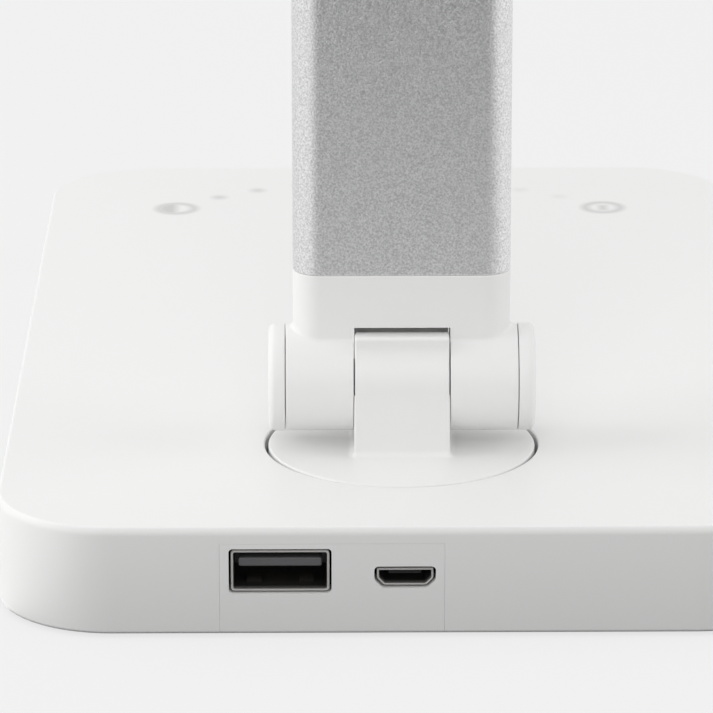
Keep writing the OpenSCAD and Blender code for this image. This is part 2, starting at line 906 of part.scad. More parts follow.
module arm_tube() {
    translate([0, lower_y, lower_z + collar_h])
        color(silver)
            linear_extrude(arm_len - 2*collar_h)
                difference() {
                    stadium(arm_w, arm_t);
                    stadium(arm_w - 2*arm_wall, arm_t - 2*arm_wall);
                }
}

module arm_ribbon() {
    start = slot_reach + 1;
    translate([-ribbon_w/2, lower_y - ribbon_t/2, lower_z + start])
        color("white")
            cube([ribbon_w, ribbon_t, arm_len - 2*start]);
}

// The head's parts are drawn with the upper pin at the origin, forward along -Y
module head_slab(w, from, to, low, high) {
    translate([-w/2, -to, low])
        cube([w, to - from, high - low]);
}

// A rounded bar along the head
module head_bar(from, to, w, low, high) {
    translate([0, -from, (low + high)/2])
        rotate([90, 0, 0])
            linear_extrude(to - from)
                stadium(w, high - low);
}

// Side view of the head's knuckle: the round eye and its neck up to the root
module head_knuckle_side() {
    circle(barrel_r, $fn = 128);
    polygon([[0, barrel_r - 0.2], [-barrel_r*0.55, head_high], [-root_start - lap, head_high],
        [-root_start - lap, head_low], [-barrel_r + 0.6, head_low], [0, 0]]);
}

module head_knuckle() {
    inner_high = roof_low - fixed_clear;
    color(plastic)
        at_upper()
            difference() {
                union() {
                    across(knuckle_w)
                        head_knuckle_side();
                    head_bar(root_start, shell_start - fixed_clear, head_w, head_low, head_high);
                    head_slab(cavity_w - 0.2, shell_start - lap, shell_start + head_spigot,
                        head_low + 0.3, inner_high);
                }
                bar_x(pin_r + fixed_clear, -knuckle_w, knuckle_w);
                head_slab(wire_w, pin_r + 1.2, shell_start + head_spigot + lap,
                    way_low, way_low + wire_t);
                head_slab(wire_w, pin_r + 1.2, barrel_r - 1.2, -barrel_r, way_low + 1);
            }
}

module head_shell() {
    color(silver)
        at_upper()
            difference() {
                head_bar(shell_start, shell_end, head_w, head_low, head_high);
                head_slab(cavity_w, shell_start - lap, shell_end + lap, head_low - lap, roof_low);
            }
}

module head_end_cap() {
    color(plastic)
        at_upper() {
            head_bar(shell_end + fixed_clear, head_reach, head_w, head_low, head_high);
            head_slab(cavity_w - 0.2, shell_end - head_spigot, shell_end + lap,
                head_low + 0.3, roof_low - fixed_clear);
        }
}

module led_board() {
    color("white")
        at_upper()
            head_slab(cavity_w - 2*frame_wall, light_start, light_end, led_board_low, roof_low);
}

module leds() {
    long = 3.5;
    wide = 2.8;
    first = light_start + 5;
    step = (light_end - light_start - 10)/(led_count - 1);
    color("lightyellow")
        at_upper()
            for (i = [0 : led_count - 1], s = [-1, 1])
                translate([s*led_rows_apart/2 - wide/2, -first - i*step - long/2,
                        led_board_low - led_t])
                    cube([wide, long, led_t]);
}

module reflector_frame() {
    w = cavity_w - 2*fixed_clear;
    color("white")
        at_upper()
            difference() {
                head_slab(w, light_start, light_end, diffuser_top, led_board_low - fixed_clear);
                head_slab(w - 2*frame_wall - 2, light_start + frame_wall + 1,
                    light_end - frame_wall - 1, head_low, roof_low);
            }
}

module diffuser() {
    color([1, 1, 1, 0.8])
        at_upper()
            head_slab(cavity_w - 2*fixed_clear, light_start, light_end, head_low,
                diffuser_top - fixed_clear);
}

module head_ribbon() {
    low = way_low + (wire_t - ribbon_t)/2;
    color("white")
        at_upper()
            head_slab(ribbon_w, root_start, light_start, low, low + ribbon_t);
}

base_top();
base_bottom();
base_pad();
base_screws();
port_plate();
usb_a_shell();
usb_a_tongue();
usb_a_contacts();
micro_usb_shell();
micro_usb_tongue();
main_board();
board_chips();
board_coil();
battery_socket();
battery_leads();
board_screws();
battery();
battery_foam();
ballast_plate();
touch_board();
touch_ribbon();
swivel_bush();
swivel_washer();
swivel_knuckle();
swivel_spindle();
swivel_spring();
swivel_nut();
at_lower() hinge_pin();  // lower_pin
at_lower() cup_springs();  // lower_springs
at_lower() hinge_nuts();  // lower_nuts
at_lower() friction_washers();  // lower_washers
arm_foot();
at_lower() mirror([1, 0, 0]) end_cap();  // lower_cap_left
at_lower() end_cap();  // lower_cap_right
arm_tube();
arm_ribbon();
arm_top();
at_upper() mirror([1, 0, 0]) end_cap();  // upper_cap_left
at_upper() end_cap();  // upper_cap_right
at_upper() friction_washers();  // upper_washers
head_knuckle();
at_upper() hinge_pin();  // upper_pin
at_upper() cup_springs();  // upper_springs
at_upper() hinge_nuts();  // upper_nuts
head_shell();
head_end_cap();
led_board();
leds();
reflector_frame();
diffuser();
head_ribbon();
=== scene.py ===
"""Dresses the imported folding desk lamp: meshes for what shows, finishes, studio and camera."""

import json
import logging
import math
import sys
from collections.abc import Callable, Iterable, Sequence
from dataclasses import dataclass
from enum import Enum

import bmesh
import bpy
from mathutils import Matrix, Vector


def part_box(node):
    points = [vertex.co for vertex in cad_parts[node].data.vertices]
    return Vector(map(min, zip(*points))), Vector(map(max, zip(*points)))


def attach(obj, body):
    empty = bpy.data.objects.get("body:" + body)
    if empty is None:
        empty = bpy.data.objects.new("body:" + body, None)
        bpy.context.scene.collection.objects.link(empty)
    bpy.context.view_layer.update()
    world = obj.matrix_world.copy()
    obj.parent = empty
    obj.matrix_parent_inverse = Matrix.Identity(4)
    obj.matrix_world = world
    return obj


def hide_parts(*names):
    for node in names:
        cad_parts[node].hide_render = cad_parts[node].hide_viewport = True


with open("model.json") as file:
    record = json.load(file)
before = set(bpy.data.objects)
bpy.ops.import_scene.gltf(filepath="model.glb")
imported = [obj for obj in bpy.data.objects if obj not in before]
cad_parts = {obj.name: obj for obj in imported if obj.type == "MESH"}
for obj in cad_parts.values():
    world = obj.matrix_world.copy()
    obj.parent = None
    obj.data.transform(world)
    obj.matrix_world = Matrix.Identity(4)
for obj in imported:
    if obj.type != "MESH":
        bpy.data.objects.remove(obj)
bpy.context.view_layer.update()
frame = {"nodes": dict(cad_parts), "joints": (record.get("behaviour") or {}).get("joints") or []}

LOG = logging.getLogger("desk_lamp")
MM = 0.001  # metres in a millimetre
SHARP_ANGLE = 32.0  # degrees from which an edge stays sharp in the shading
LAP = 1.0  # mm by which a cutter or an added solid runs past the face that it meets
SEAM = 0.02  # mm of play between pieces that meet

Flat = tuple[float, float]
Point = tuple[float, float, float]
Placer = Callable[[float, float, float], Point]
Solid = bpy.types.Object
Tree = bpy.types.NodeTree
Socket = bpy.types.NodeSocket


def srgb(hex_colour: str) -> tuple[float, ...]:
    """Turns an sRGB hex colour, such as #EDEDEC, into linear RGBA with an alpha of 1."""
    channels = [int(hex_colour[i:i + 2], 16) / 255 for i in (1, 3, 5)]
    return (*(c / 12.92 if c <= 0.04045 else ((c + 0.055) / 1.055) ** 2.4 for c in channels), 1.0)


def add_node(tree: Tree, kind: str, inputs: dict | None = None, **settings) -> bpy.types.Node:
    """Adds a node with its settings, and sets or links its inputs.

    Args:
        tree: the node tree that gets the node.
        kind: the node's type, such as "ShaderNodeBump".
        inputs: input name or number, with a constant or a socket to link.
        settings: the node's own properties.

    Returns:
        The new node.
    """
    node = tree.nodes.new(kind)
    for name, value in settings.items():
        setattr(node, name, value)
    for name, value in (inputs or {}).items():
        if isinstance(value, Socket):
            tree.links.new(value, node.inputs[name])
        else:
            node.inputs[name].default_value = value
    return node


def add_object(name: str, data: bpy.types.ID) -> Solid:
    """Adds an object to the scene.

    Args:
        name: its name.
        data: its mesh, light or camera.

    Returns:
        The object.
    """
    made = bpy.data.objects.new(name, data)
    bpy.context.scene.collection.objects.link(made)
    return made


def arc(centre: Flat, radius: float, start: float, end: float, steps: int) -> list[Flat]:
    """Points on an arc from one angle in degrees to another, both ends included."""
    angles = [math.radians(start + (end - start) * i / steps) for i in range(steps + 1)]
    return [(centre[0] + radius * math.cos(a), centre[1] + radius * math.sin(a)) for a in angles]


def bend(start: Vector, corner: Vector, end: Vector, shares: Iterable[float]) -> list[Flat]:
    """Points on a curve that rounds a corner, at shares of the way from 0 to 1."""
    return [tuple(start * (1 - t) ** 2 + corner * 2 * t * (1 - t) + end * t ** 2) for t in shares]


def rect(low: Flat, high: Flat) -> list[Flat]:
    """A rectangle between two corners, counter-clockwise, as all outlines are."""
    return [low, (high[0], low[1]), high, (low[0], high[1])]


def rounded_rect(width: float, depth: float, radius: float, steps: int = 10) -> list[Flat]:
    """A rectangle with round corners about the origin."""
    x, y = width / 2 - radius, depth / 2 - radius
    return [p for i, centre in enumerate(((x, y), (-x, y), (-x, -y), (x, -y)))
            for p in arc(centre, radius, 90 * i, 90 * i + 90, steps)]


def stadium(width: float, thickness: float, steps: int) -> list[Flat]:
    """A bar's section with half-round ends about the origin."""
    reach = (width - thickness) / 2
    return arc((reach, 0), thickness / 2, -90, 90, steps) + arc((-reach, 0), thickness / 2, 90, 270, steps)


def circle(radius: float, steps: int) -> list[Flat]:
    """A closed circle about the origin."""
    return arc((0, 0), radius, 0, 360, steps)[:-1]


def outward(outline: Sequence[Flat]) -> list[Flat]:
    """Finds how far each point of a closed outline moves when it grows by 1.

    Args:
        outline: the outline.

    Returns:
        One step for each point.
    """
    steps = []
    for i, point in enumerate(outline):
        sides = (Vector(point) - Vector(outline[i - 1]),
                 Vector(outline[(i + 1) % len(outline)]) - Vector(point))
        normals = [Vector((d.y, -d.x)).normalized() for d in sides]
        mean = (normals[0] + normals[1]).normalized()
        steps.append(tuple(mean / max(0.5, mean.dot(normals[0]))))
    return steps


def grown(outline: Sequence[Flat], by: float) -> list[Flat]:
    """The outline moved outward by a distance, or inward where it is negative."""
    return [(p[0] + n[0] * by, p[1] + n[1] * by) for p, n in zip(outline, outward(outline))]


def rim(at: float, edge: float, inward: int, steps: int) -> list[Flat]:
    """A rounded rim's stations: where each lies along the length, and how far the outline grows there.

    Args:
        at: where the rim ends along the length.
        edge: its radius.
        inward: 1 where the solid lies after it, -1 where it lies before it.
        steps: the stretches in it.

    Returns:
        The stations, in order along the length.
    """
    if not edge:
        return [(at, 0.0)]
    turns = [math.pi / 2 * i / steps for i in range(steps + 1)]
    return [(at + inward * edge * (1 - math.cos(a)), -edge * (1 - math.sin(a))) for a in turns][::inward]


class Join(Enum):
    """How two solids are put together."""

    ADD = "UNION"
    CUT = "DIFFERENCE"


class Shape:
    """A closed mesh under construction, in millimetres in the row frame."""

    def __init__(self) -> None:
        """Starts with nothing."""
        self.bm = bmesh.new()

    def skin(self, loops: Sequence[Sequence[Point]], closed: bool = False) -> list[list]:
        """Lays quads between loops of equally many points.

        Args:
            loops: closed loops of points, in order.
            closed: whether the last loop joins the first.

        Returns:
            The loops' vertices.
        """
        rings = [[self.bm.verts.new(p) for p in loop] for loop in loops]
        for a, b in list(zip(rings, rings[1:])) + ([(rings[-1], rings[0])] if closed else []):
            for i in range(len(a)):
                j = (i + 1) % len(a)
                self.bm.faces.new((a[i], a[j], b[j], b[i]))
        return rings

    def loft(self, outline: Sequence[Flat], stations: Sequence[Flat], place: Placer,
             closed: bool = False) -> list[list]:
        """Skins an outline through stations, each a place along the length and a growth of the outline."""
        return self.skin([[place(u, v, at) for u, v in grown(outline, by)] for at, by in stations], closed)

    def cap(self, rings: Sequence[Sequence]) -> None:
        """Closes the first and the last ring with one face each."""
        for ring in (rings[0], rings[-1]):
            self.bm.faces.new(ring)

    def fill(self, *rings: Sequence) -> None:
        """Fills the flat area between closed rings.

        Args:
            rings: the outer ring, then the holes.
        """
        edges = []
        for ring in rings:
            for i, vert in enumerate(ring):
                pair = (vert, ring[(i + 1) % len(ring)])
                edges.append(self.bm.edges.get(pair) or self.bm.edges.new(pair))
        bmesh.ops.triangle_fill(self.bm, use_beauty=True, edges=edges)

    def sheet(self) -> Solid:
        """Turns the shape into an object as it is.

        Returns:
            The object, still in millimetres.
        """
        mesh = bpy.data.meshes.new("shape")
        self.bm.to_mesh(mesh)
        self.bm.free()
        return add_object("shape", mesh)

    def solid(self) -> Solid:
        """Closes the shape's seams, turns its faces outward and makes it an object.

        Returns:
            The solid, still in millimetres.
        """
        bmesh.ops.remove_doubles(self.bm, verts=self.bm.verts, dist=1e-4)
        bmesh.ops.recalc_face_normals(self.bm, faces=self.bm.faces)
        return self.sheet()


def settle(made: Solid) -> None:
    """Bakes an object's modifiers into its mesh.

    Args:
        made: the object.
    """
    bpy.context.view_layer.update()
    mesh = bpy.data.meshes.new_from_object(made.evaluated_get(bpy.context.evaluated_depsgraph_get()))
    made.modifiers.clear()
    made.data = mesh


def join(body: Solid, how: Join, *others: Solid) -> Solid:
    """Adds solids to a body, or cuts them out of it, one after the other.

    Args:
        body: the solid that stays.
        how: whether the others are added or cut.
        others: the solids that go into it.

    Returns:
        The body.
    """
    for other in others:
        modifier = body.modifiers.new("join", "BOOLEAN")
        modifier.operation = how.value
        modifier.solver = "EXACT"
        modifier.object = other
        settle(body)
        bpy.data.objects.remove(other)
    return body


def prism(outline: Sequence[Flat], span: Flat, place: Placer, edges: Flat = (0.0, 0.0),
          bore: float = 0.0, steps: int = 4) -> Solid:
    """A solid of one section along a length, with rounded rims.

    Args:
        outline: the section.
        span: where it starts and ends along its length.
        place: turns section and length into a point of the row frame.
        edges: the rims' radii at the start and at the end.
        bore: the radius of a round hole along its middle, if any.
        steps: the stretches in each rim.

    Returns:
        The solid, in millimetres.
    """
    shape = Shape()
    rings = shape.loft(outline, rim(span[0], edges[0], 1, steps) + rim(span[1], edges[1], -1, steps), place)
    if bore:
        holes = shape.skin([[place(u, v, at) for u, v in circle(bore, 64)] for at in span])
        shape.fill(rings[0], holes[0])
        shape.fill(rings[-1], holes[1])
    else:
        shape.cap(rings)
    return shape.solid()


def turned(profile: Sequence[Flat], place: Placer, steps: int = 128) -> Solid:
    """A turned solid with flat ends.

    Args:
        profile: its points (length, radius), in order.
        place: turns two cross-axis distances and a length into a point of the row frame.
        steps: the stretches round the axis.

    Returns:
        The solid, in millimetres.
    """
    shape = Shape()
    shape.cap(shape.skin([[place(u, v, at) for u, v in circle(r, steps)] for at, r in profile]))
    return shape.solid()


def sleeve(outline: Sequence[Flat], stations: Sequence[Flat], place: Placer) -> Solid:
    """A solid ring of walls: an outline taken out along a round of stations, and back inside.

    Args:
        outline: its outer section.
        stations: the wall's own section, each point a place along the length and a growth of the outline.
        place: turns section and length into a point of the row frame.

    Returns:
        The solid, in millimetres.
    """
    shape = Shape()
    shape.loft(outline, stations, place, closed=True)
    return shape.solid()


def folded_sheet(outline: Sequence[Flat], length: float, sheet: float, lip: float, place: Placer) -> Solid:
    """A sleeve of folded sheet metal with a rounded lip, from its mouth inward."""
    return sleeve(outline, [(length, 0), (lip, 0), (0, -lip), (0, -sheet + lip / 2), (lip, -sheet),
                            (length, -sheet)], place)


def block(low: Point, high: Point) -> Solid:
    """A plain block between two corners."""
    return prism(rect(low[:2], high[:2]), (low[2], high[2]), lambda u, v, at: (u, v, at))


@dataclass(frozen=True)
class Box:
    """A CAD node's box at rest, in millimetres."""

    low: Vector
    high: Vector

    @classmethod
    def of(cls, node: str) -> "Box":
        """Reads a node's box from the frame."""
        low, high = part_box(node)
        return cls(low / MM, high / MM)

    @property
    def size(self) -> Vector:
        """Its three sizes."""
        return self.high - self.low

    @property
    def middle(self) -> Vector:
        """Its middle."""
        return (self.high + self.low) / 2


def pivot(joint: str) -> Vector:
    """A joint's place in the row frame, in millimetres."""
    return next(Vector(j["pos_m"]) / MM for j in frame["joints"] if j["name"] == joint)


def place_across(x: float, y: float, z: float) -> Placer:
    """A placer for sections seen from the side: rear, up and along X, from an origin."""
    origin = Vector((x, y, z))
    return lambda u, v, at: (origin.x + at, origin.y + u, origin.z + v)


def place_up(x: float = 0.0, y: float = 0.0) -> Placer:
    """A placer for sections seen from above, about an upright axis."""
    origin = Vector((x, y))
    return lambda u, v, at: (origin.x + u, origin.y + v, at)


def place_forward(x: float, y: float, z: float = 0.0) -> Placer:
    """A placer for sections seen from the rear, whose length runs forward along -Y from an origin."""
    origin = Vector((x, y, z))
    return lambda u, v, at: (origin.x + u, origin.y - at, origin.z + v)


@dataclass(frozen=True)
class Finish:
    """A finish of one colour with a fine surface.

    Grain and depth are its bumps' width and height in mm, mottle is how far its colour varies with them, and
    slot would name the record's material slot for new pieces of it, but nothing here reads it.
    """

    name: str
    colour: str
    roughness: float
    grain: float
    depth: float
    metallic: float = 0.0
    ior: float = 1.5
    mottle: float = 0.0
    slot: str = ""

    def material(self) -> bpy.types.Material:
        """Makes the finish's material, or finds it again.

        Returns:
            The material.
        """
        made = bpy.data.materials.get(self.name)
        if made:
            return made
        made = bpy.data.materials.new(self.name)
        made.use_nodes = True
        tree = made.node_tree
        shader = tree.nodes["Principled BSDF"]
        colour = srgb(self.colour)
        for name, value in (("Base Color", colour), ("Roughness", self.roughness),
                            ("Metallic", self.metallic), ("IOR", self.ior)):
            shader.inputs[name].default_value = value
        where = add_node(tree, "ShaderNodeTexCoord")
        noise = add_node(tree, "ShaderNodeTexNoise", {"Vector": where.outputs["Object"], "Detail": 2.0,
                                                      "Scale": 1 / (self.grain * MM)})
        bump = add_node(tree, "ShaderNodeBump", {"Height": noise.outputs["Fac"], "Distance": self.depth * MM})
        tree.links.new(bump.outputs["Normal"], shader.inputs["Normal"])
        if self.mottle:
            ramp = add_node(tree, "ShaderNodeValToRGB", {"Fac": noise.outputs["Fac"]})
            for stop, at, side in zip(ramp.color_ramp.elements, (0.3, 0.7), (-1, 1)):
                stop.position = at
                stop.color = (*(min(1.0, c * (1 + side * self.mottle)) for c in colour[:3]), 1.0)
            tree.links.new(ramp.outputs["Color"], shader.inputs["Base Color"])
        self.adorn(tree, shader)
        return made

    def adorn(self, tree: Tree, shader: bpy.types.Node) -> None:
        """Adds nothing more: plain finishes end here."""


@dataclass(frozen=True)
class TwoToneFinish(Finish):
    """A finish with a second colour in places: ink on the printed shell, painted shade inside the sockets."""

    second: str = "#000000"

    def amount(self, tree: Tree) -> Socket:
        """Adds the nodes that say how much of the second colour shows; each such finish has its own."""
        raise NotImplementedError

    def adorn(self, tree: Tree, shader: bpy.types.Node) -> None:
        """Mixes the second colour in."""
        mix = add_node(tree, "ShaderNodeMixRGB", {"Fac": self.amount(tree), "Color1": srgb(self.colour),
                                                  "Color2": srgb(self.second)})
        tree.links.new(mix.outputs[0], shader.inputs["Base Color"])


@dataclass(frozen=True)
class PrintedFinish(TwoToneFinish):
    """A finish with ink printed on it, where the mesh's own ink attribute says."""

    def amount(self, tree: Tree) -> Socket:
        """Reads the ink attribute."""
        return add_node(tree, "ShaderNodeAttribute", attribute_name="ink").outputs["Fac"]


@dataclass(frozen=True)
class PaintedShadeSocketFinish(TwoToneFinish):
    """A socket's plating with painted shade: its colour darkens behind its mouth, between two places along Y
    in mm.
    """

    shade_starts: float = 88.6
    shade_full: float = 87.4

    def amount(self, tree: Tree) -> Socket:
        """Measures how deep a point lies behind the mouth, which sets how much painted shade it gets.

        Args:
            tree: the material's node tree.

        Returns:
            A socket that goes from 0 at the mouth to 1 inside.
        """
        where = add_node(tree, "ShaderNodeTexCoord")
        split = add_node(tree, "ShaderNodeSeparateXYZ", {0: where.outputs["Object"]})
        # The painted shade runs from none at the mouth to full a little deeper in.
        span = {"From Min": self.shade_starts * MM, "From Max": self.shade_full * MM}
        return add_node(tree, "ShaderNodeMapRange", {"Value": split.outputs[1], **span}).outputs[0]


@dataclass(frozen=True)
class CloudyFinish(Finish):
    """A milky finish into which a share of the light goes and spreads, by a distance in mm."""

    spread: float = 1.5
    share: float = 0.5

    def adorn(self, tree: Tree, shader: bpy.types.Node) -> None:
        """Sets how far and how much the light spreads inside."""
        for name, value in (("Weight", self.share), ("Radius", (1.0, 1.0, 1.0)), ("Scale", self.spread * MM)):
            shader.inputs["Subsurface " + name].default_value = value


# Injection-moulded ABS from a spark-eroded mould: an even white satin with soft, wide highlights.
# The mould's texture is about 0.1 mm wide, so fine that it only takes the gloss off; drawn at 0.25 mm.
MOULDED_ABS = Finish("moulded_white_abs", "#EDEDEC", 0.38, ior=1.53, grain=0.25, depth=0.004,
                     slot="white_abs")
# The same shell with the touch marks pad-printed on it in a pale grey that only just shows.
PRINTED_ABS = PrintedFinish("pad_printed_white_abs", "#EDEDEC", 0.38, ior=1.53, grain=0.25, depth=0.004,
                            slot="white_abs", second="#C6C7C5")
# Extruded aluminium, bead-blasted and anodised: silver grey, its glow soft and full of pin-fine grains.
# The beads leave pits of about 0.1 mm, drawn at 0.26 mm so that they show.
BLASTED_ALUMINIUM = Finish("bead_blasted_anodised_aluminium", "#F2F2F4", 0.34, metallic=1.0, grain=0.26,
                           depth=0.074, mottle=0.3, slot="anodised_aluminium")
# Stamped steel sheet, satin nickel-plated: pale rims that catch the light; painted shade darkens it inside.
NICKEL_SHEET_PAINTED_SHADE = PaintedShadeSocketFinish("nickel_plated_steel_painted_shade", "#EDECE9", 0.52, metallic=1.0, grain=0.3,
                            depth=0.004, slot="plated_steel", second="#6C6B69")
# Zinc-plated steel, turned or stamped: a cool, slightly dull metal.
ZINC_STEEL = Finish("zinc_plated_steel", "#B2B6BC", 0.38, metallic=1.0, grain=0.3, depth=0.004)
# Gold-flashed contact springs: small warm glints.
CONTACT_BRASS = Finish("gold_flashed_brass", "#DDB862", 0.25, metallic=1.0, grain=0.3, depth=0.002)
# Glass-filled black nylon, moulded: a deep black with a dull sheen.
BLACK_NYLON = Finish("moulded_black_nylon", "#1C1C1E", 0.45, ior=1.53, grain=0.2, depth=0.006,
                     slot="black_nylon")
# Glass-filled grey nylon, moulded: the lighter insulator that shows in the charging socket.
GREY_NYLON = Finish("moulded_grey_nylon", "#636365", 0.5, ior=1.53, grain=0.2, depth=0.006,
                    slot="black_nylon")
# Natural acetal, moulded: creamy and slightly waxy.
IVORY_ACETAL = CloudyFinish("moulded_natural_acetal", "#E8E2D2", 0.4, ior=1.48, grain=0.25, depth=0.004)
# Glass laminate under green solder mask: glossy, with the weave only just showing.
GREEN_LAMINATE = Finish("solder_masked_laminate", "#14512B", 0.25, ior=1.55, grain=0.6, depth=0.004,
                        mottle=0.12)
# Moulded epoxy packages: matt black.
BLACK_EPOXY = Finish("moulded_epoxy", "#222224", 0.55, ior=1.55, grain=0.15, depth=0.006)
# Pressed and sintered ferrite: dark grey and stony.
SINTERED_FERRITE = Finish("sintered_ferrite", "#35353A", 0.6, ior=1.6, grain=0.3, depth=0.02)
# Extruded PVC sheath: red, smooth and a little soft.
EXTRUDED_PVC = Finish("extruded_red_pvc", "#A3201B", 0.4, ior=1.53, grain=0.4, depth=0.006)
# Laminated pouch foil: satin silver with faint wrinkles.
POUCH_FOIL = Finish("laminated_pouch_foil", "#C4C7CC", 0.35, metallic=1.0, grain=6.0, depth=0.15)
# Cut closed-cell foam: grey and dull, with open pores.
CUT_FOAM = Finish("cut_closed_cell_foam", "#4C4C50", 0.9, ior=1.4, grain=0.5, depth=0.15, mottle=0.2)
# Moulded silicone: dark grey, dry and matt.
MOULDED_SILICONE = Finish("moulded_grey_silicone", "#77777A", 0.7, ior=1.41, grain=0.4, depth=0.02,
                          slot="grey_silicone")
# Flat wire laminated in white polyester: smooth, with a paper-like sheen.
FLAT_WIRE = Finish("laminated_flat_wire", "#E6E6E2", 0.35, ior=1.57, grain=1.2, depth=0.02)
# White solder mask on an aluminium board: brighter and glossier than the shell.
WHITE_MASK = Finish("white_solder_mask", "#F1F1EE", 0.3, ior=1.55, grain=0.6, depth=0.004)
# Phosphor resin in the light chips: opaque yellow when they are off.
PHOSPHOR_RESIN = CloudyFinish("phosphor_resin", "#EBD06A", 0.3, ior=1.5, grain=0.15, depth=0.004, mottle=0.05,
                              spread=0.4)
# Moulded white polycarbonate: a bright satin that throws the light down.
MOULDED_POLYCARBONATE = Finish("moulded_white_polycarbonate", "#F1F1F0", 0.4, ior=1.58, grain=0.25,
                               depth=0.004)
# Opal acrylic with a satin face: milky, so the light chips don't show through it.
OPAL_ACRYLIC = CloudyFinish("opal_satin_acrylic", "#F0F0EF", 0.3, ior=1.49, grain=0.3, depth=0.003,
                            slot="opal_acrylic", spread=2.0, share=0.7)


def dress(made: Solid, name: str, finish: Finish, body: str, *nodes: str) -> None:
    """Brings a solid into metres, gives it its finish and lets it ride on its body.

    Args:
        made: the solid, in millimetres.
        name: the piece's name.
        finish: what it is made of.
        body: the CAD body that it moves with.
        nodes: the CAD nodes that it replaces.
    """
    made.name = made.data.name = name
    made.data.transform(Matrix.Scale(MM, 4))
    made.data.materials.clear()
    made.data.materials.append(finish.material())
    made.data.shade_smooth()
    made.data.set_sharp_from_angle(angle=math.radians(SHARP_ANGLE))
    made.modifiers.new("even shading", "WEIGHTED_NORMAL").keep_sharp = True
    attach(made, body)
    if nodes:
        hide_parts(*nodes)
    LOG.info("%s: %d faces, rides on %s", name, len(made.data.polygons), body)


@dataclass
class BaseShell:
    """The base's white upper shell: rounded box, swivel well, screw posts and the port plate's opening."""

    corner: float = 16.0
    edge_tight: float = 0.33
    edge_wide: float = 2.1
    edge_turn: float = 60.0  # degrees of the upper edge that the tight round takes
    edge_ledge: float = 0.6
    foot_edge: float = 0.5
    foot_bevel: float = 0.2
    wall: float = 2.0
    well_gap: float = 0.5
    well_edge: float = 0.15
    bush_bore: float = 6.57
    boss_wall: float = 2.0
    post: tuple[float, float, float, float] = (3.0, 1.1, 2.0, 6.0)  # radius, bore, inset, depth of the screw
    groove: tuple[float, float, float] = (1.3, 15.8, 1.3)  # half width, distance from the hub, depth

    def crown(self, top: float) -> list[Flat]:
        """The upper edge's stations from the side wall up: a wide round that turns over in a tight one.

        Args:
            top: the height of the shell's top.

        Returns:
            How far each station is drawn in, and its height.
        """
        turn = math.radians(self.edge_turn)
        wide_in, wide_down = self.edge_wide * (1 - math.sin(turn)), self.edge_wide * math.cos(turn)
        tight_in, tight_down = self.edge_tight * math.sin(turn), self.edge_tight * (1 - math.cos(turn))
        wide = arc((-self.edge_wide, top - tight_down - wide_down), self.edge_wide, 0, 90 - self.edge_turn, 6)
        tight = arc((-tight_in - wide_in, top - self.edge_tight), self.edge_tight, 90 - self.edge_turn, 90, 5)
        return [(-out, z) for out, z in wide + tight[1:]]

    def make(self, port: "PortPlate") -> None:
        """Builds the shell as one closed skin, inside and outside, and dresses it.

        Args:
            port: the plate whose opening is cut into the rear wall.
        """
        box, hub = Box.of("base_top"), pivot("base_swivel")
        low, top, roof = box.low.z, box.high.z, Box.of("touch_board").high.z
        well, boss_low = Box.of("swivel_washer").low.z, Box.of("swivel_bush").low.z
        radius = Box.of("swivel_knuckle").size.x / 2 + self.well_gap
        bore, boss, well_low = self.bush_bore, self.bush_bore + self.boss_wall, well - self.boss_wall
        crown = self.crown(top)
        outside = [(self.wall, roof), (self.wall, low + self.foot_bevel), (self.wall - self.foot_bevel, low),
                   *((-by, at) for at, by in rim(low, self.foot_edge, 1, 4)), *crown,
                   (crown[-1][0] + self.edge_ledge, top)]
        inside = [(radius + 3 * self.well_edge, top), (radius + self.well_edge, top),
                  (radius, top - self.well_edge), (radius, well), (bore, well), (bore, boss_low),
                  (boss, boss_low), (boss, well_low), (radius + self.wall, well_low),
                  (radius + self.wall, roof)]
        shape = Shape()
        width, depth = box.size.xy
        outer = shape.skin([[(x, y, z) for x, y in rounded_rect(width - 2 * inset, depth - 2 * inset,
                                                                self.corner - inset, 16)]
                            for inset, z in outside])
        inner = shape.skin([[(hub.x + u, hub.y + v, z) for u, v in circle(r, 128)] for r, z in inside])
        shape.fill(outer[-1], inner[0])
        shape.fill(outer[0], inner[-1])
        shell = shape.solid()
        screws = Box.of("base_screws")
        post, hole, inset, deep = self.post
        for x in (screws.low.x + inset, screws.high.x - inset):
            for y in (screws.low.y + inset, screws.high.y - inset):
                join(shell, Join.ADD, prism(circle(post, 32), (screws.high.z - deep, roof + LAP / 2),
                                            place_up(x, y), bore=hole))
        half, at, deep = self.groove
        sector = (arc((0, 0), at + half, -180, 0, 48) + arc((at, 0), half, 0, 180, 12)[1:]
                  + arc((0, 0), at - half, 0, -180, 48)[1:] + arc((-at, 0), half, 0, 180, 12)[1:-1])
        groove = prism(sector, (well - deep, well + LAP), place_up(hub.x, hub.y))
        join(shell, Join.CUT, groove, port.opening())
        dress(shell, "base_shell", MOULDED_ABS, "base", "base_top")


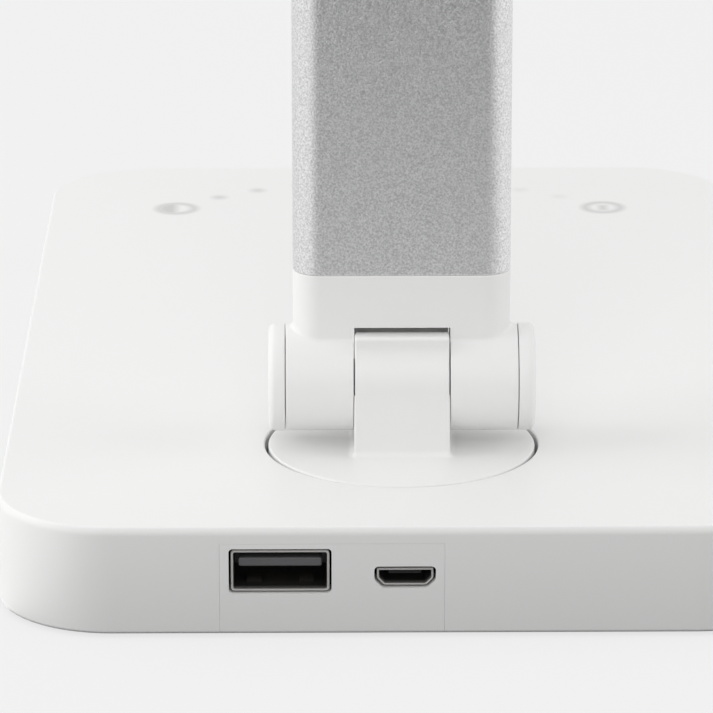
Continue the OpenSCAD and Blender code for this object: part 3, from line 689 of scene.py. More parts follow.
@dataclass
class PortPlate:
    """The plate in the rear wall with the two sockets' openings."""

    gap: float = 0.28
    inlet_gap: float = 0.34
    top_rim: float = 0.7
    flange: float = 1.6
    depth: float = 2.0
    edge: float = 0.07
    foot_edge: float = 0.5
    bevel_from: float = 50.0  # degrees from which an edge is bevelled
    back_rise: float = 3.0
    mouth_corner: float = 0.5
    cut: Flat = (0, 5)  # the openings' depth
    behind: float = 0.6  # how much deeper the shell's opening is than the plate

    def box(self) -> tuple[Vector, Vector]:
        """The plate's outer face.

        Returns:
            Its lowest and highest corner.
        """
        plate, usb = Box.of("port_plate"), Box.of("usb_a_shell")
        low = Vector((plate.low.x + self.flange, plate.high.y - self.depth, plate.low.z))
        return low, Vector((plate.high.x - self.flange, plate.high.y, usb.high.z + self.gap + self.top_rim))

    def opening(self) -> Solid:
        """The cutter for the shell's rear wall, larger than the plate by the seam."""
        low, high = self.box()
        return block((low.x - SEAM, low.y - self.behind, low.z - LAP),
                     (high.x + SEAM, high.y + LAP, high.z + SEAM))

    def make(self) -> None:
        """Builds and dresses the plate with its inner flange and its two openings."""
        low, high = self.box()
        whole, usb, inlet = Box.of("port_plate"), Box.of("usb_a_shell"), Box.of("micro_usb_shell")
        foot = arc((high.y - self.foot_edge, low.z + self.foot_edge), self.foot_edge, -90, 0, 4)
        plate = prism([(low.y, low.z), *foot, (high.y, high.z), (low.y, high.z)], (low.x, high.x),
                      place_across(0, 0, 0))
        join(plate, Join.ADD, block((whole.low.x, whole.low.y, Box.of("base_bottom").low.z + self.back_rise),
                                    (whole.high.x, low.y + SEAM, whole.high.z)))
        mouth = rounded_rect(usb.size.x + 2 * self.gap, usb.size.z + 2 * self.gap, self.mouth_corner)
        join(plate, Join.CUT,
             prism(mouth, self.cut, place_forward(usb.middle.x, high.y + LAP, usb.middle.z)),
             prism(grown(SmallInlet().outline(), self.inlet_gap), self.cut,
                   place_forward(inlet.middle.x, high.y + LAP)))
        bevel = plate.modifiers.new("rims", "BEVEL")
        bevel.width = self.edge
        bevel.segments = 2
        bevel.limit_method = "ANGLE"
        bevel.angle_limit = math.radians(self.bevel_from)
        settle(plate)
        dress(plate, "port_panel", MOULDED_ABS, "base", "port_plate")


@dataclass
class ChargingSocket:
    """The full-size socket: a folded sheet shell with spring tabs, and its tongue."""

    sheet: float = 0.35
    corner: float = 0.55
    lip: float = 0.12
    tab_width: float = 2.0
    tab_rise: float = 0.55
    tab_sheet: float = 0.22
    tab_from: float = 2.0
    tab_length: float = 4.0
    tab_root: Flat = (0.1, 0.12)  # how far a tab's ends are sunk in the wall, on its two faces
    tab_places: Flat = (-3.5, 3.5)
    tongue: tuple[float, float, float] = (11.1, 1.25, 0.3)  # width, thickness, corners
    tongue_edge: float = 0.25
    heel: float = 4.0
    heel_corner: float = 0.2

    def make_shell(self) -> None:
        """Builds and dresses the shell, with four spring tabs bent into its mouth."""
        box = Box.of("usb_a_shell")
        mouth = (box.middle.x, box.high.y, box.middle.z)
        shell = folded_sheet(rounded_rect(box.size.x, box.size.z, self.corner, 6), box.size.y, self.sheet,
                             self.lip, place_forward(*mouth))
        for side in (-1, 1):
            for x in self.tab_places:
                join(shell, Join.ADD, self.tab((mouth[0] + x, *mouth[1:]), side, box.size.z / 2 - self.sheet))
        dress(shell, "usb_a_metal", NICKEL_SHEET_PAINTED_SHADE, "base", "usb_a_shell")

    def tab(self, middle: Point, side: int, wall: float) -> Solid:
        """One spring tab: a bowed strip that stands off the upper or lower wall.

        Args:
            middle: the socket's mouth at the tab's place across it.
            side: -1 for the lower wall, 1 for the upper wall.
            wall: the wall's distance from the middle.

        Returns:
            The tab, in millimetres.
        """
        steps = 8
        inner, outer = [], []
        for i in range(steps + 1):
            at = -(self.tab_from + self.tab_length * i / steps)
            v = wall - self.tab_rise * math.sin(math.pi * i / steps) ** 1.3
            faces = (v, v + self.tab_sheet) if 0 < i < steps else (wall + sunk for sunk in self.tab_root)
            for face, height in zip((inner, outer), faces):
                face.append((at, side * height))
        outline = (inner + outer[::-1])[::-side]
        return prism(outline, (-self.tab_width / 2, self.tab_width / 2), place_across(*middle))

    def make_tongue(self) -> None:
        """Builds and dresses the tongue on its heel, with rounded front edges."""
        box, contacts = Box.of("usb_a_tongue"), Box.of("usb_a_contacts")
        width, thickness, corner = self.tongue
        blade = prism(rounded_rect(width, thickness, corner, 5), (0, box.size.y - LAP / 2),
                      place_forward(box.middle.x, box.high.y, contacts.high.z + thickness / 2),
                      (self.tongue_edge, 0.0))
        join(blade, Join.ADD,
             prism(rounded_rect(box.size.x, box.size.z, self.heel_corner, 4),
                   (box.size.y - self.heel, box.size.y),
                   place_forward(box.middle.x, box.high.y, box.middle.z)))
        dress(blade, "usb_a_blade", GREY_NYLON, "base", "usb_a_tongue")

    def make(self) -> None:
        """Makes the socket's shell and tongue."""
        self.make_shell()
        self.make_tongue()


@dataclass
class SmallInlet:
    """The micro inlet: a drawn shell with cut lower corners, and its tongue."""

    height: float = 2.4  # of the shell, without its two solder tabs
    cut: float = 0.95
    corner: float = 0.3
    sheet: float = 0.3
    lip: float = 0.1
    tab: tuple[float, float, float, float] = (0.28, 0.5, 3.0, 2.1)  # thickness, start, end, height
    tongue: tuple[float, float, float] = (4.4, 0.6, 0.15)  # width, thickness, corners
    tongue_edge: float = 0.12
    tongue_rise: float = 1.23
    heel: float = 1.2

    def outline(self) -> list[Flat]:
        """The shell's outline: a flat box with cut lower corners, in the row frame's heights.

        Returns:
            The closed outline about the inlet's middle.
        """
        box = Box.of("micro_usb_shell")
        half, top = box.size.x / 2, box.high.z
        low, cut = top - self.height, self.cut
        corners = [Vector(c) for c in ((half, top), (-half, top), (-half, low + cut), (-half + cut, low),
                                       (half - cut, low), (half, low + cut))]
        points = []
        for before, here, after in zip(corners[-1:] + corners, corners, corners[1:] + corners[:1]):
            start, end = (here + (other - here).normalized() * self.corner for other in (before, after))
            points += bend(start, here, end, (0, 0.25, 0.5, 0.75, 1))
        return points

    def make_shell(self) -> None:
        """Builds and dresses the shell with its rounded lip and its two solder tabs."""
        box = Box.of("micro_usb_shell")
        shell = folded_sheet(self.outline(), box.size.y, self.sheet, self.lip,
                             place_forward(box.middle.x, box.high.y))
        sheet, start, end, height = self.tab
        for side in (-1, 1):
            outer = box.middle.x + side * box.size.x / 2
            left, right = sorted((outer, outer - side * sheet))
            join(shell, Join.ADD, block((left, box.low.y + start, box.low.z),
                                        (right, box.low.y + end, box.low.z + height)))
        dress(shell, "micro_usb_metal", NICKEL_SHEET_PAINTED_SHADE, "base", "micro_usb_shell")

    def make_tongue(self) -> None:
        """Builds and dresses the thin tongue on its block."""
        box = Box.of("micro_usb_tongue")
        width, thickness, corner = self.tongue
        blade = prism(rounded_rect(width, thickness, corner, 4), (0, box.size.y - LAP / 2),
                      place_forward(box.middle.x, box.high.y, box.low.z + self.tongue_rise),
                      (self.tongue_edge, 0.0))
        join(blade, Join.ADD, block(tuple(box.low), (box.high.x, box.low.y + self.heel, box.high.z)))
        dress(blade, "micro_usb_blade", BLACK_NYLON, "base", "micro_usb_tongue")

    def make(self) -> None:
        """Makes the inlet's shell and tongue."""
        self.make_shell()
        self.make_tongue()


@dataclass
class SwivelKnuckle:
    """The swivel disc with its pedestal and the centre knuckle of the lower hinge."""

    edge: float = 0.3
    thickness: float = 3.0
    lip_back: float = 5.6
    lip_rise: float = 7.35
    lip_round: float = 0.5
    lip_front: float = 3.0
    lip_blend: float = 14.0  # degrees of the round below the lip that its curve takes up
    lip_wall: float = 1.2
    notch: Flat = (-1.8, 4.4)  # its front end and its floor, from the pin
    half_width: float = 6.5
    pedestal_half: float = 6.6
    pedestal_drop: float = 0.3
    lug: tuple[float, float, float] = (1.0, 15.8, 1.2)  # radius, distance from the hub, depth
    foot_fillet: float = 0.9
    foot_corner: float = 0.35
    foot_sunk: Flat = (0.2, 0.15)  # how far the fillet's ends run into disc and pedestal
    spindle_bore: float = 5.02
    spindle_depth: float = 5.0
    pin_bore: float = 2.52
    way: Flat = (3.0, 2.0)  # half width and height of the wire's way
    way_front: float = 1.2
    way_rear: float = 3.5

    def eye_outline(self, radius: float) -> list[Flat]:
        """The knuckle's eye from the side: a round with a thin lip and a deep notch at the rear of its top.

        Args:
            radius: the round's radius.

        Returns:
            The outline about the pin.
        """
        under = math.degrees(math.acos(self.lip_back / radius))
        end, floor = self.notch
        behind = math.degrees(math.acos(end / radius))
        low = arc((0, 0), radius, 0, under - self.lip_blend, 16)
        turn = Vector((self.lip_back, radius * math.sin(math.radians(under))))
        blend = bend(Vector(low[-1]), turn, turn + Vector((0, self.lip_wall)),
                     (0.15, 0.3, 0.45, 0.6, 0.75, 0.9, 1.0))
        corner = (self.lip_back - self.lip_round, self.lip_rise - self.lip_round)
        return (low + blend + arc(corner, self.lip_round, 0, 90, 5)
                + [(self.lip_front, self.lip_rise), (self.lip_front, floor), (end, floor)]
                + arc((0, 0), radius, behind, 360, 64)[:-1])

    def make(self) -> None:
        """Builds disc, pedestal, foot fillet and eye, cuts the bores and dresses the whole."""
        hub, pin = pivot("base_swivel"), pivot("arm_tilt")
        disc_radius, radius = Box.of("swivel_knuckle").size.x / 2, Box.of("lower_cap_left").size.y / 2
        top = Box.of("base_top").high.z
        under = top - self.thickness
        up, across, edges = place_up(hub.x, hub.y), place_across(*pin), (self.edge, self.edge)
        disc = turned([(under, disc_radius),
                       *((at, disc_radius + by) for at, by in rim(top, self.edge, -1, 4))], up)
        foot = rounded_rect(2 * self.pedestal_half, 2 * radius, self.foot_corner, 6)
        flare = [(at, -by) for at, by in reversed(rim(top, self.foot_fillet, 1, 6))]
        skirt = Shape()
        sunk, inward = self.foot_sunk
        skirt.cap(skirt.loft(foot, [(top + self.foot_fillet + sunk, -inward), *flare,
                                    (top - sunk, self.foot_fillet)], place_up(pin.x, pin.y)))
        pedestal = prism(rect((-radius, top - pin.z - LAP / 2), (radius, -self.pedestal_drop)),
                         (-self.pedestal_half, self.pedestal_half), across, edges)
        eye = prism(self.eye_outline(radius), (-self.half_width, self.half_width), across, edges,
                    bore=self.pin_bore)
        lug_radius, lug_at, lug_deep = self.lug
        lug = prism(circle(lug_radius, 32), (under - lug_deep, top - LAP), place_up(hub.x, hub.y - lug_at))
        knuckle = join(disc, Join.ADD, skirt.solid(), pedestal, eye, lug)
        (half, tall), front, roof = self.way, pin.y - radius + self.way_front, under + self.spindle_depth
        join(knuckle, Join.CUT,
             turned([(under - LAP, self.spindle_bore), (roof, self.spindle_bore)], up, 64),
             block((-half, front, roof - LAP / 2), (half, hub.y + half, roof + tall)),
             block((-half, front, roof), (half, pin.y - self.way_rear, pin.z + radius)))
        dress(knuckle, "swivel_knuckle_moulded", MOULDED_ABS, "swivel", "swivel_knuckle")


@dataclass
class ArmFork:
    """A moulded end of the arm: two barrel halves, the collar that blends into them, and the spigot."""

    node: str
    joint: str
    up: int
    width: float = 30.0
    thickness: float = 7.6
    collar: float = 15.68
    collar_edge: float = 0.2
    blend: float = 0.7
    blend_sunk: float = 0.006
    foot: Flat = (0.3, 4.0)  # the collar's foot inside the barrel: its growth, and its height over the pin
    slot_half: float = 6.66
    slot_reach: float = 8.23
    slot_depth: float = 10.0
    barrel_in: float = 6.66
    barrel_out: float = 16.0
    barrel_edge: float = 0.18
    pocket: float = 5.5
    pocket_at: float = 10.02
    pin_bore: float = 2.55
    way: Flat = (8.0, 2.6)  # width and depth of the wire's way
    spigot: tuple[float, float, float] = (27.8, 5.4, 29.7)  # width, thickness, reach from the pin

    def place(self, u: float, v: float, at: float) -> Point:
        """Puts a point that is given from the pin, with the arm going up, into the row frame."""
        pin = pivot(self.joint)
        return (pin.x + u, pin.y + v, pin.z + self.up * at)

    def build_collar(self, radius: float) -> Solid:
        """Builds the collar, with the fillet that runs out onto the barrel's round.

        Args:
            radius: the barrel's radius.

        Returns:
            The collar with its slot, in millimetres.
        """
        section = stadium(self.width, self.thickness, 32)
        sunk = radius + self.blend - self.blend_sunk
        steps = 9
        arcs: list[list[Point]] = [[] for _ in range(steps + 1)]
        foot: list[Point] = []
        out, rise = self.foot
        for (u, v), (nu, nv) in zip(section, outward(section)):
            ball = Vector((u + nu * self.blend, v + nv * self.blend))
            height = math.sqrt(sunk ** 2 - ball.y ** 2)
            wall = Vector((-nu, -nv, 0)).normalized()
            down = Vector((0, -ball.y, -height)).normalized()
            turn = wall.angle(down)
            for i in range(steps + 1):
                t = i / steps
                way = (wall * math.sin((1 - t) * turn) + down * math.sin(t * turn)) / math.sin(turn)
                arcs[i].append(self.place(*(Vector((ball.x, ball.y, height)) + way * self.blend)))
            foot.append(self.place(u + nu * out, v + nv * out, rise))
        shape = Shape()
        shape.cap(shape.skin([*([self.place(u, v, at) for u, v in grown(section, by)]
                                for at, by in reversed(rim(self.collar, self.collar_edge, -1, 4))),
                              *arcs, foot]))
        slot = prism(rect((-self.slot_half, -self.slot_depth), (self.slot_half, self.slot_depth)),
                     (-LAP, self.slot_reach), self.place)
        return join(shape.solid(), Join.CUT, slot)

    def make(self) -> None:
        """Builds and dresses the whole fork."""
        radius = Box.of("lower_cap_left").size.y / 2
        fork = self.build_collar(radius)
        profile = [(at, radius + by) for at, by in rim(self.barrel_in, self.barrel_edge, 1, 3)
                   + rim(self.barrel_out, self.barrel_edge, -1, 3)]
        bore = [(self.barrel_in - LAP / 2, self.pin_bore), (self.pocket_at + LAP / 2, self.pin_bore)]
        pocket = [(self.pocket_at, self.pocket), (self.barrel_out + LAP, self.pocket)]
        for side in (-1, 1):
            def barrel_place(u: float, v: float, at: float, side: int = side) -> Point:
                """Places a barrel section, whose length runs along X."""
                return self.place(side * at, u, v)
            join(fork, Join.ADD, turned(profile, barrel_place, 160))
            join(fork, Join.CUT, turned(bore, barrel_place, 64), turned(pocket, barrel_place, 96))
        width, thickness, reach = self.spigot
        join(fork, Join.ADD, prism(stadium(width, thickness, 16), (self.collar - LAP, reach), self.place))
        half, deep = self.way[0] / 2, self.way[1] / 2
        way = prism(rect((-half, -deep), (half, deep)), (self.slot_reach - LAP, reach + LAP), self.place)
        dress(join(fork, Join.CUT, way), self.node + "_fork", MOULDED_ABS, "arm", self.node)


@dataclass
class EndCap:
    """A turned cap that closes an end of a hinge barrel."""

    node: str
    joint: str
    edge: float = 0.95
    seat_edge: float = 0.18
    spigot_radius: float = 5.48
    spigot_wall: float = 0.8
    spigot_depth: float = 0.8
    dish: tuple[Flat, Flat] = ((0.1, 1.4), (0.12, 2.2))  # the face's depth, and how far in from the round

    def make(self) -> None:
        """Builds and dresses the cap with its rounded outer rim, its spigot and a slightly hollow face."""
        box, pin = Box.of(self.node), pivot(self.joint)
        radius, side = box.size.y / 2, math.copysign(1, box.middle.x)
        front, outer = sorted((abs(box.low.x), abs(box.high.x)))
        seat, hollow = front + self.spigot_depth, self.spigot_radius - self.spigot_wall
        profile = [(front + LAP, hollow), (front, hollow), (front, self.spigot_radius),
                   (seat, self.spigot_radius),
                   *((at, radius + by) for at, by in rim(seat, self.seat_edge, 1, 3)
                     + rim(outer, self.edge, -1, 8)),
                   *((outer - depth, radius - inward) for depth, inward in self.dish)]
        dress(turned(profile, lambda u, v, at: (side * at, pin.y + u, pin.z + v), 160), self.node + "_turned",
              MOULDED_ABS, "arm", self.node)


@dataclass
class ArmTube:
    """The arm's extruded tube."""

    wall: float = 1.0
    edge: float = 0.2

    def make(self) -> None:
        """Builds and dresses the tube: one ring of walls with softened ends."""
        box = Box.of("arm_tube")
        low, high = box.low.z, box.high.z
        walls = [*rim(low, self.edge, 1, 4), *rim(high, self.edge, -1, 4),
                 (high, -self.wall), (low, -self.wall)]
        tube = sleeve(stadium(box.size.x, box.size.y, 40), walls, place_up(box.middle.x, box.middle.y))
        dress(tube, "arm_extrusion", BLASTED_ALUMINIUM, "arm", "arm_tube")


@dataclass
class Head:
    """The lamp's head: the moulded root with its eye, the extruded shell, the tip and the diffuser."""

    eye_half: float = 6.45
    eye_edge: float = 0.3
    eye_turn: Flat = (147.9, 451.7)  # degrees between which the eye's round is free of the neck
    root_start: float = 7.6
    root_edge: float = 0.9
    seam_edge: float = 0.15
    tip_edge: float = 1.4
    cavity_half: float = 15.5
    spigot_half: float = 15.4
    spigot_rise: float = 0.3
    neck: Flat = (0.55, 0.6)  # its upper end as a share of the eye's radius, and its lower end within the eye
    pin_bore: float = 2.52
    way: tuple[float, float, float] = (4.0, 2.6, 1.6)  # half width, height and rise of the wire's way
    way_front: float = 1.2
    way_rear: float = 3.7
    panel_corner: float = 0.5
    panel_edge: float = 0.25

    def __post_init__(self) -> None:
        """Reads the head's place from the frame."""
        self.pin = pivot("head_tilt")
        self.shell, self.tip = Box.of("head_shell"), Box.of("head_end_cap")
        self.root, self.roof = Box.of("head_knuckle"), Box.of("led_board").high.z
        self.radius = Box.of("upper_cap_left").size.y / 2
        self.width, self.low, self.high = self.root.size.x, self.tip.low.z, self.tip.high.z
        self.span = (self.pin.y - self.shell.high.y, self.pin.y - self.shell.low.y)
        self.place = place_forward(self.pin.x, self.pin.y, (self.low + self.high) / 2)

    def bar(self, start: float, end: float, edges: Flat) -> Solid:
        """A stretch of the head's full section, from the pin forward."""
        return prism(stadium(self.width, self.high - self.low, 24), (start, end), self.place, edges, steps=6)

    def spigot(self, start: float, end: float) -> Solid:
        """A slab that fits the shell's cavity, between two distances from the pin."""
        return block((-self.spigot_half, self.pin.y - end, self.low + self.spigot_rise),
                     (self.spigot_half, self.pin.y - start, self.roof - SEAM))

    def make_root(self) -> None:
        """Builds and dresses the eye, its neck, the root and the spigot in the shell."""
        seam, far = self.span[0], self.pin.y - self.root.low.y
        low, high = self.low - self.pin.z, self.high - self.pin.z
        back, (upper, lower) = -self.root_start - LAP, self.neck
        outline = (arc((0, 0), self.radius, *self.eye_turn, 96)
                   + [(-self.radius * upper, high), (back, high), (back, low), (-self.radius + lower, low)])
        eye = prism(outline, (-self.eye_half, self.eye_half), place_across(*self.pin),
                    (self.eye_edge, self.eye_edge), bore=self.pin_bore)
        bar = self.bar(self.root_start, seam - SEAM, (self.root_edge, self.seam_edge))
        join(bar, Join.ADD, eye, self.spigot(seam - LAP, far))
        half, tall, rise = self.way
        way_low, rear = self.low + rise, self.pin.y - self.way_rear
        join(bar, Join.CUT, block((-half, self.pin.y - far - LAP, way_low), (half, rear, way_low + tall)),
             block((-half, self.pin.y - self.radius + self.way_front, self.pin.z - self.radius),
                   (half, rear, way_low + LAP)))
        dress(bar, "head_root", MOULDED_ABS, "head", "head_knuckle")

    def make_shell(self) -> None:
        """Builds and dresses the extruded shell, open below between its two lips."""
        half = (self.high - self.low) / 2
        reach = self.width / 2 - half
        out = math.degrees(math.acos((self.cavity_half - reach) / half))
        roof = self.roof - (self.low + self.high) / 2
        outline = (arc((reach, 0), half, -out, 90, 24) + arc((-reach, 0), half, 90, 180 + out, 24)
                   + [(-self.cavity_half, roof), (self.cavity_half, roof)])
        dress(prism(outline, self.span, self.place, (self.seam_edge, self.seam_edge)), "head_extrusion",
              BLASTED_ALUMINIUM, "head", "head_shell")

    def make_tip(self) -> None:
        """Builds and dresses the moulded tip with its rounded end and its spigot."""
        end, seam = self.pin.y - self.tip.low.y, self.span[1]
        tip = self.bar(seam + SEAM, end, (self.seam_edge, self.tip_edge))
        join(tip, Join.ADD, self.spigot(self.pin.y - self.tip.high.y, seam + LAP))
        dress(tip, "head_tip", MOULDED_ABS, "head", "head_end_cap")

    def make_panel(self) -> None:
        """Builds and dresses the opal panel with a softened rim."""
        box = Box.of("diffuser")
        panel = prism(rounded_rect(box.size.x, box.size.y, self.panel_corner, 4), (box.low.z, box.high.z),
                      place_up(box.middle.x, box.middle.y), (self.panel_edge, 0.0))
        dress(panel, "opal_panel", OPAL_ACRYLIC, "head", "diffuser")

    def make(self) -> None:
        """Makes the head's outer pieces."""
        self.make_root()
        self.make_shell()
        self.make_tip()
        self.make_panel()


@dataclass
class BasePad:
    """The silicone pad under the base."""

    corner: float = 11.88
    edge: float = 0.25

    def make(self) -> None:
        """Builds and dresses the pad with its rounded lower rim."""
        box = Box.of("base_pad")
        outline = rounded_rect(box.size.x, box.size.y, self.corner, 12)
        pad = prism(outline, (box.low.z, box.high.z), place_up(), (self.edge, 0.0))
        dress(pad, "silicone_pad", MOULDED_SILICONE, "base", "base_pad")


class Mark(Enum):
    """The kinds of printed touch mark."""

    MODE = "mode"
    POWER = "power"
    DOT = "dot"


@dataclass
class TouchMarks:
    """The faint marks printed on the base's top, on a circle about the touch field's middle."""

    middle: Flat = (0.0, -35.4)
    circle_radius: float = 45.0
    icon_turn: float = 50.0
    dot_turns: tuple[float, ...] = (-38.0, -28.5, -19.0, -9.5, 0.0, 9.5, 19.0, 28.5, 38.0)
    icon_radius: float = 2.85
    line: float = 1.05
    dot_radius: float = 1.1
    dot_ink: Flat = (0.22, 0.7)
    dot_mesh: tuple[int, int] = (8, 24)  # rings in a dot, and points in a ring
    icon_mesh: tuple[int, int] = (26, 72)
    blur: float = 1.5
    stem: Flat = (0.2, 0.45)  # the power icon's bar: how far up it lies, and its half length in icon radii
    lift: float = 0.012
    sunk: float = 0.002

    def ink(self, kind: Mark, turn: float, u: float, v: float) -> float:
        """How much ink lies at a point of a mark, from 0 to 1; the dots fade from one icon to the other.

        Args:
            kind: the mark's kind.
            turn: the mark's place on the circle, in degrees.
            u: the distance to the mark's right, seen from the user's side.
            v: the distance away from the user.

        Returns:
            The ink, which fades over the blur's width.
        """
        r = math.hypot(u, v)

        def within(distance: float) -> float:
            """How far a point lies within an edge, from 0 to 1 over the blur's width."""
            return min(1.0, max(0.0, 0.5 - distance / self.blur))

        if kind is Mark.DOT:
            faint, full = self.dot_ink
            share = 0.5 + 0.5 * turn / self.dot_turns[-1]
            return (faint + (full - faint) * share) * within(r - self.dot_radius)
        ring = within(abs(r - self.icon_radius) - self.line / 2)
        if kind is Mark.MODE:
            return max(ring, min(within(r - self.icon_radius), within(-u)))
        rise, reach = self.stem
        return max(ring, within(max(abs(u) - self.line / 2, abs(v - rise) - self.icon_radius * reach)))

    def make(self) -> None:
        """Builds and dresses all marks as one thin printed layer, with its ink as an attribute."""
        top = Box.of("base_top").high.z
        shape = Shape()
        layer = shape.bm.verts.layers.float.new("ink")
        icons = [(Mark.MODE, self.icon_turn), (Mark.POWER, -self.icon_turn)]
        for kind, turn in icons + [(Mark.DOT, turn) for turn in self.dot_turns]:
            reach = (self.dot_radius if kind is Mark.DOT else self.icon_radius + self.line / 2) + self.blur
            a = math.radians(turn)
            centre = Vector((self.middle[0] + self.circle_radius * math.sin(a),
                             self.middle[1] - self.circle_radius * math.cos(a)))
            rings, count = self.dot_mesh if kind is Mark.DOT else self.icon_mesh
            before = None
            for i in range(rings + 1):
                z = top + (self.lift * (1 - (i / rings) ** 4) - self.sunk if i else self.lift)
                loop = []
                for u, v in circle(reach * i / rings, count) if i else [(0.0, 0.0)]:
                    loop.append(shape.bm.verts.new((centre.x + u, centre.y + v, z)))
                    loop[-1][layer] = self.ink(kind, turn, u, v)
                for j in range(count if i else 0):
                    k = (j + 1) % count
                    inner = (before[j], before[k]) if i > 1 else (before[0],)
                    shape.bm.faces.new((inner[0], loop[j], loop[k], *inner[1:]))
                before = loop
        dress(shape.sheet(), "touch_marks", PRINTED_ABS, "base")


@dataclass
class InnerParts:
    """The CAD's own pieces that still show, or lie inside: each gets its finish."""

    finishes: tuple[tuple[Finish, tuple[str, ...]], ...] = (
        (MOULDED_ABS, ("base_bottom",)),
        (CONTACT_BRASS, ("usb_a_contacts", "lower_washers", "upper_washers")),
        (ZINC_STEEL, ("base_screws", "board_screws", "ballast_plate", "swivel_spindle", "swivel_spring",
                      "swivel_nut", "lower_pin", "lower_springs", "lower_nuts", "upper_pin",
                      "upper_springs", "upper_nuts")),
        (GREEN_LAMINATE, ("main_board", "touch_board")),
        (BLACK_EPOXY, ("board_chips",)),
        (SINTERED_FERRITE, ("board_coil",)),
        (IVORY_ACETAL, ("battery_socket", "swivel_bush", "swivel_washer")),
        (EXTRUDED_PVC, ("battery_leads",)),
        (POUCH_FOIL, ("battery",)),
        (CUT_FOAM, ("battery_foam",)),
        (FLAT_WIRE, ("touch_ribbon", "arm_ribbon", "head_ribbon")),
        (WHITE_MASK, ("led_board",)),
        (PHOSPHOR_RESIN, ("leds",)),
        (MOULDED_POLYCARBONATE, ("reflector_frame",)),
    )

    def make(self) -> None:
        """Puts each finish on its nodes."""
        for finish, nodes in self.finishes:
            for name in nodes:
                node = frame["nodes"][name]
                for place in node.material_slots:
                    place.material = finish.material()
                if not node.material_slots:
                    node.data.materials.append(finish.material())
            LOG.info("%s: %s", finish.name, ", ".join(nodes))


@dataclass
class SoftLight:
    """A soft box of some watts, aimed at a point of the lamp; the camera and reflections don't show it."""

    name: str
    place: Point
    aim: Point
    size: Flat
    power: float

    def make(self) -> None:
        """Hangs the light and turns it to its aim."""
        data = bpy.data.lights.new(self.name, "AREA")
        data.shape = "RECTANGLE"
        data.size, data.size_y = self.size
        data.energy = self.power
        made = add_object(self.name, data)
        made.visible_camera = False
        made.visible_glossy = False
        made.location = self.place
        made.rotation_euler = (Vector(self.aim) - Vector(self.place)).to_track_quat("-Z", "Y").to_euler()


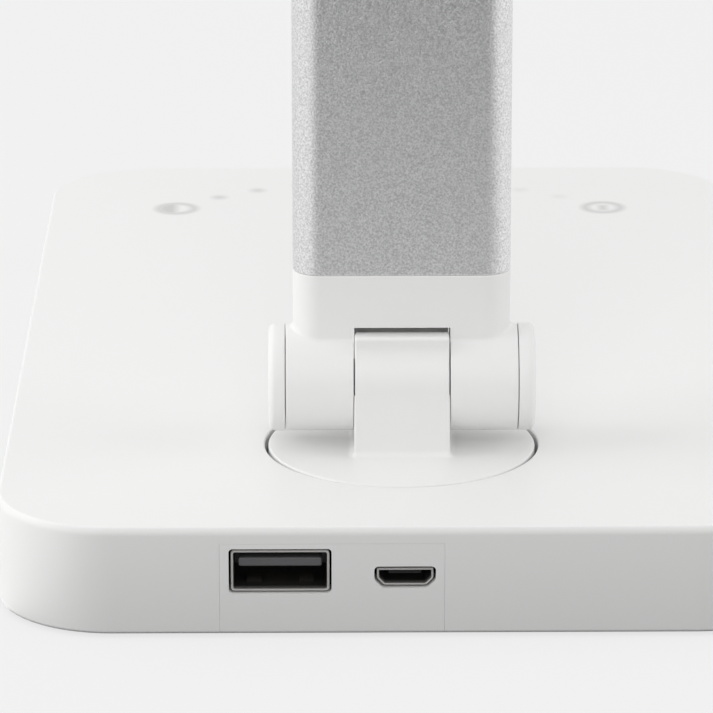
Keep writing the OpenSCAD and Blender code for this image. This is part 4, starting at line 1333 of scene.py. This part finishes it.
@dataclass
class Studio:
    """The pale floor, the surroundings, the soft lights and the camera, in metres.

    The photograph's metal and rear face mirror something darker than a white room. Here that is a dark
    cloth: an area of the floor behind the lamp, between two slopes from a point in front, that the camera
    doesn't see.
    """

    backdrop: str = "#EFEFEF"
    glow: str = "#F5F5F5"
    paper: str = "#DCDCDC"
    cloth: tuple[tuple[float, str], ...] = ((0.12, "#707070"), (0.15, "#CCCCCC"), (0.2, "#E8E8E8"),
                                            (0.27, "#141414"))  # distance behind the lamp, and colour
    cloth_start: float = 0.06
    cloth_point: float = -0.12
    cloth_slopes: Flat = (-0.5, 0.27)
    floor_half: float = 15.0
    floor_drop: float = 0.0001  # keeps the floor's face off the pad's
    shade_share: float = 0.18
    ambient: float = 0.63
    lights: tuple[SoftLight, ...] = (
        SoftLight("overhead_light", (0.55, -0.6, 1.4), (0.0, 0.0, 0.02), (2.0, 2.0), 4.8),
        SoftLight("back_light", (0.15, 1.4, 0.85), (0.0, 0.05, 0.03), (1.0, 0.8), 4.8),
        SoftLight("left_light", (0.95, 0.1, 0.42), (0.0, 0.03, 0.05), (0.7, 0.7), 4.2),
        SoftLight("right_light", (-0.9, 0.1, 0.45), (0.0, 0.03, 0.05), (0.6, 0.6), 2.0),
    )
    eye: Point = (0.010786, 0.704731, 0.235700)
    yaw: float = 0.007
    pitch: float = 0.309
    roll: float = -0.001
    lens: float = 249.56
    sensor: float = 36.0
    clip: Flat = (0.02, 60.0)

    def pale_for_sight(self, tree: Tree) -> Socket:
        """Adds the test for rays that see the background straight, in a reflection or through glass.

        Args:
            tree: the world's or the floor's node tree.

        Returns:
            A socket that is 1 for such rays.
        """
        path = add_node(tree, "ShaderNodeLightPath").outputs
        found = path["Is Camera Ray"]
        for ray in ("Is Glossy Ray", "Is Transmission Ray"):
            found = add_node(tree, "ShaderNodeMath", {0: found, 1: path[ray]}, operation="MAXIMUM").outputs[0]
        return found

    def make_world(self) -> None:
        """Makes the surroundings: the backdrop's colour for sight, a plain soft light otherwise."""
        world = bpy.data.worlds.new("studio_air")
        world.use_nodes = True
        tree = world.node_tree
        tree.nodes.clear()
        seen = add_node(tree, "ShaderNodeBackground", {"Color": srgb(self.backdrop), "Strength": 1.0})
        light = add_node(tree, "ShaderNodeBackground", {"Color": srgb("#FFFFFF"), "Strength": self.ambient})
        mix = add_node(tree, "ShaderNodeMixShader", {0: self.pale_for_sight(tree), 1: light.outputs[0],
                                                     2: seen.outputs[0]})
        add_node(tree, "ShaderNodeOutputWorld", {"Surface": mix.outputs[0]})
        bpy.context.scene.world = world

    def cloth_colour(self, tree: Tree, behind: Socket) -> Socket:
        """Adds the cloth's colour.

        Args:
            tree: the floor's node tree.
            behind: the distance behind the lamp.

        Returns:
            The colour's socket.
        """
        ramp = add_node(tree, "ShaderNodeValToRGB", {"Fac": behind})
        stops = ramp.color_ramp.elements
        for _ in range(len(self.cloth) - len(stops)):
            stops.new(1.0)
        for stop, (at, colour) in zip(stops, self.cloth):
            stop.position = at
            stop.color = srgb(colour)
        return ramp.outputs["Color"]

    def on_cloth(self, tree: Tree, across: Socket, behind: Socket) -> Socket:
        """Adds the test for the cloth.

        Args:
            tree: the floor's node tree.
            across: the distance to the lamp's side.
            behind: the distance behind it.

        Returns:
            A socket that is 1 on the cloth, unless the camera looks straight at it.
        """
        back = add_node(tree, "ShaderNodeMath", {0: behind, 1: self.cloth_point}, operation="SUBTRACT")
        slope = add_node(tree, "ShaderNodeMath", {0: across, 1: back.outputs[0]}, operation="DIVIDE")
        past = add_node(tree, "ShaderNodeMath", {0: behind, 1: self.cloth_start}, operation="GREATER_THAN")
        path = add_node(tree, "ShaderNodeLightPath")
        found = add_node(tree, "ShaderNodeMath", {0: past.outputs[0], 1: path.outputs["Is Camera Ray"]},
                         operation="SUBTRACT", use_clamp=True).outputs[0]
        for edge, test in zip(self.cloth_slopes, ("GREATER_THAN", "LESS_THAN")):
            inside = add_node(tree, "ShaderNodeMath", {0: slope.outputs[0], 1: edge}, operation=test)
            found = add_node(tree, "ShaderNodeMath", {0: found, 1: inside.outputs[0]},
                             operation="MULTIPLY").outputs[0]
        return found

    def make_floor(self) -> None:
        """Makes the paper floor, which shows the backdrop's colour and keeps part of the lamp's shadow."""
        made = bpy.data.materials.new("pale_paper")
        made.use_nodes = True
        tree = made.node_tree
        tree.nodes.clear()
        place = add_node(tree, "ShaderNodeNewGeometry").outputs["Position"]
        across, behind, _ = add_node(tree, "ShaderNodeSeparateXYZ", {0: place}).outputs
        paper = add_node(tree, "ShaderNodeBsdfDiffuse", {"Color": srgb(self.paper)})
        dark = add_node(tree, "ShaderNodeBsdfDiffuse", {"Color": self.cloth_colour(tree, behind)})
        glow = add_node(tree, "ShaderNodeEmission", {"Color": srgb(self.glow), "Strength": 1.0})
        share = add_node(tree, "ShaderNodeMath", {0: self.pale_for_sight(tree), 1: 1 - self.shade_share},
                         operation="MULTIPLY")
        lit = add_node(tree, "ShaderNodeMixShader", {0: share.outputs[0], 1: paper.outputs[0],
                                                     2: glow.outputs[0]})
        mix = add_node(tree, "ShaderNodeMixShader", {0: self.on_cloth(tree, across, behind),
                                                     1: lit.outputs[0], 2: dark.outputs[0]})
        add_node(tree, "ShaderNodeOutputMaterial", {"Surface": mix.outputs[0]})
        half = self.floor_half
        mesh = bpy.data.meshes.new("floor")
        mesh.from_pydata([(x, y, 0) for x, y in rect((-half, -half), (half, half))], [], [(0, 1, 2, 3)])
        mesh.materials.append(made)
        floor = add_object("floor", mesh)
        floor.location.z = -self.floor_drop

    def make_camera(self) -> None:
        """Sets the camera where the photograph was taken from."""
        forward = Vector((-math.sin(self.yaw) * math.cos(self.pitch),
                          -math.cos(self.yaw) * math.cos(self.pitch), -math.sin(self.pitch)))
        level = Vector((-math.cos(self.yaw), math.sin(self.yaw), 0))
        right = level * math.cos(self.roll) + level.cross(forward) * math.sin(self.roll)
        data = bpy.data.cameras.new("camera")
        data.sensor_width = self.sensor
        data.lens = self.lens
        data.clip_start, data.clip_end = self.clip
        camera = add_object("camera", data)
        camera.matrix_world = Matrix((right, right.cross(forward), -forward)).transposed().to_4x4()
        camera.location = self.eye
        bpy.context.scene.camera = camera

    def make(self) -> None:
        """Sets up the whole studio."""
        bpy.context.scene.view_settings.view_transform = "Standard"
        self.make_world()
        self.make_floor()
        for light in self.lights:
            light.make()
        self.make_camera()
        LOG.info("studio: %d lights, camera at %s", len(self.lights), self.eye)


def main() -> None:
    """Builds the lamp's pieces in order, then the studio round it."""
    logging.basicConfig(level=logging.INFO, format="%(message)s", stream=sys.stdout)
    port = PortPlate()
    BaseShell().make(port)
    hinges = (("arm_foot", "arm_tilt", 1, "lower"), ("arm_top", "head_tilt", -1, "upper"))
    forks = [ArmFork(node, joint, up) for node, joint, up, _ in hinges]
    caps = [EndCap(f"{barrel}_cap_{side}", joint)
            for _, joint, _, barrel in hinges for side in ("left", "right")]
    for part in (port, ChargingSocket(), SmallInlet(), BasePad(), TouchMarks(), SwivelKnuckle(), *forks,
                 *caps, ArmTube(), Head(), InnerParts(), Studio()):
        part.make()


if __name__ == "__main__":
    main()
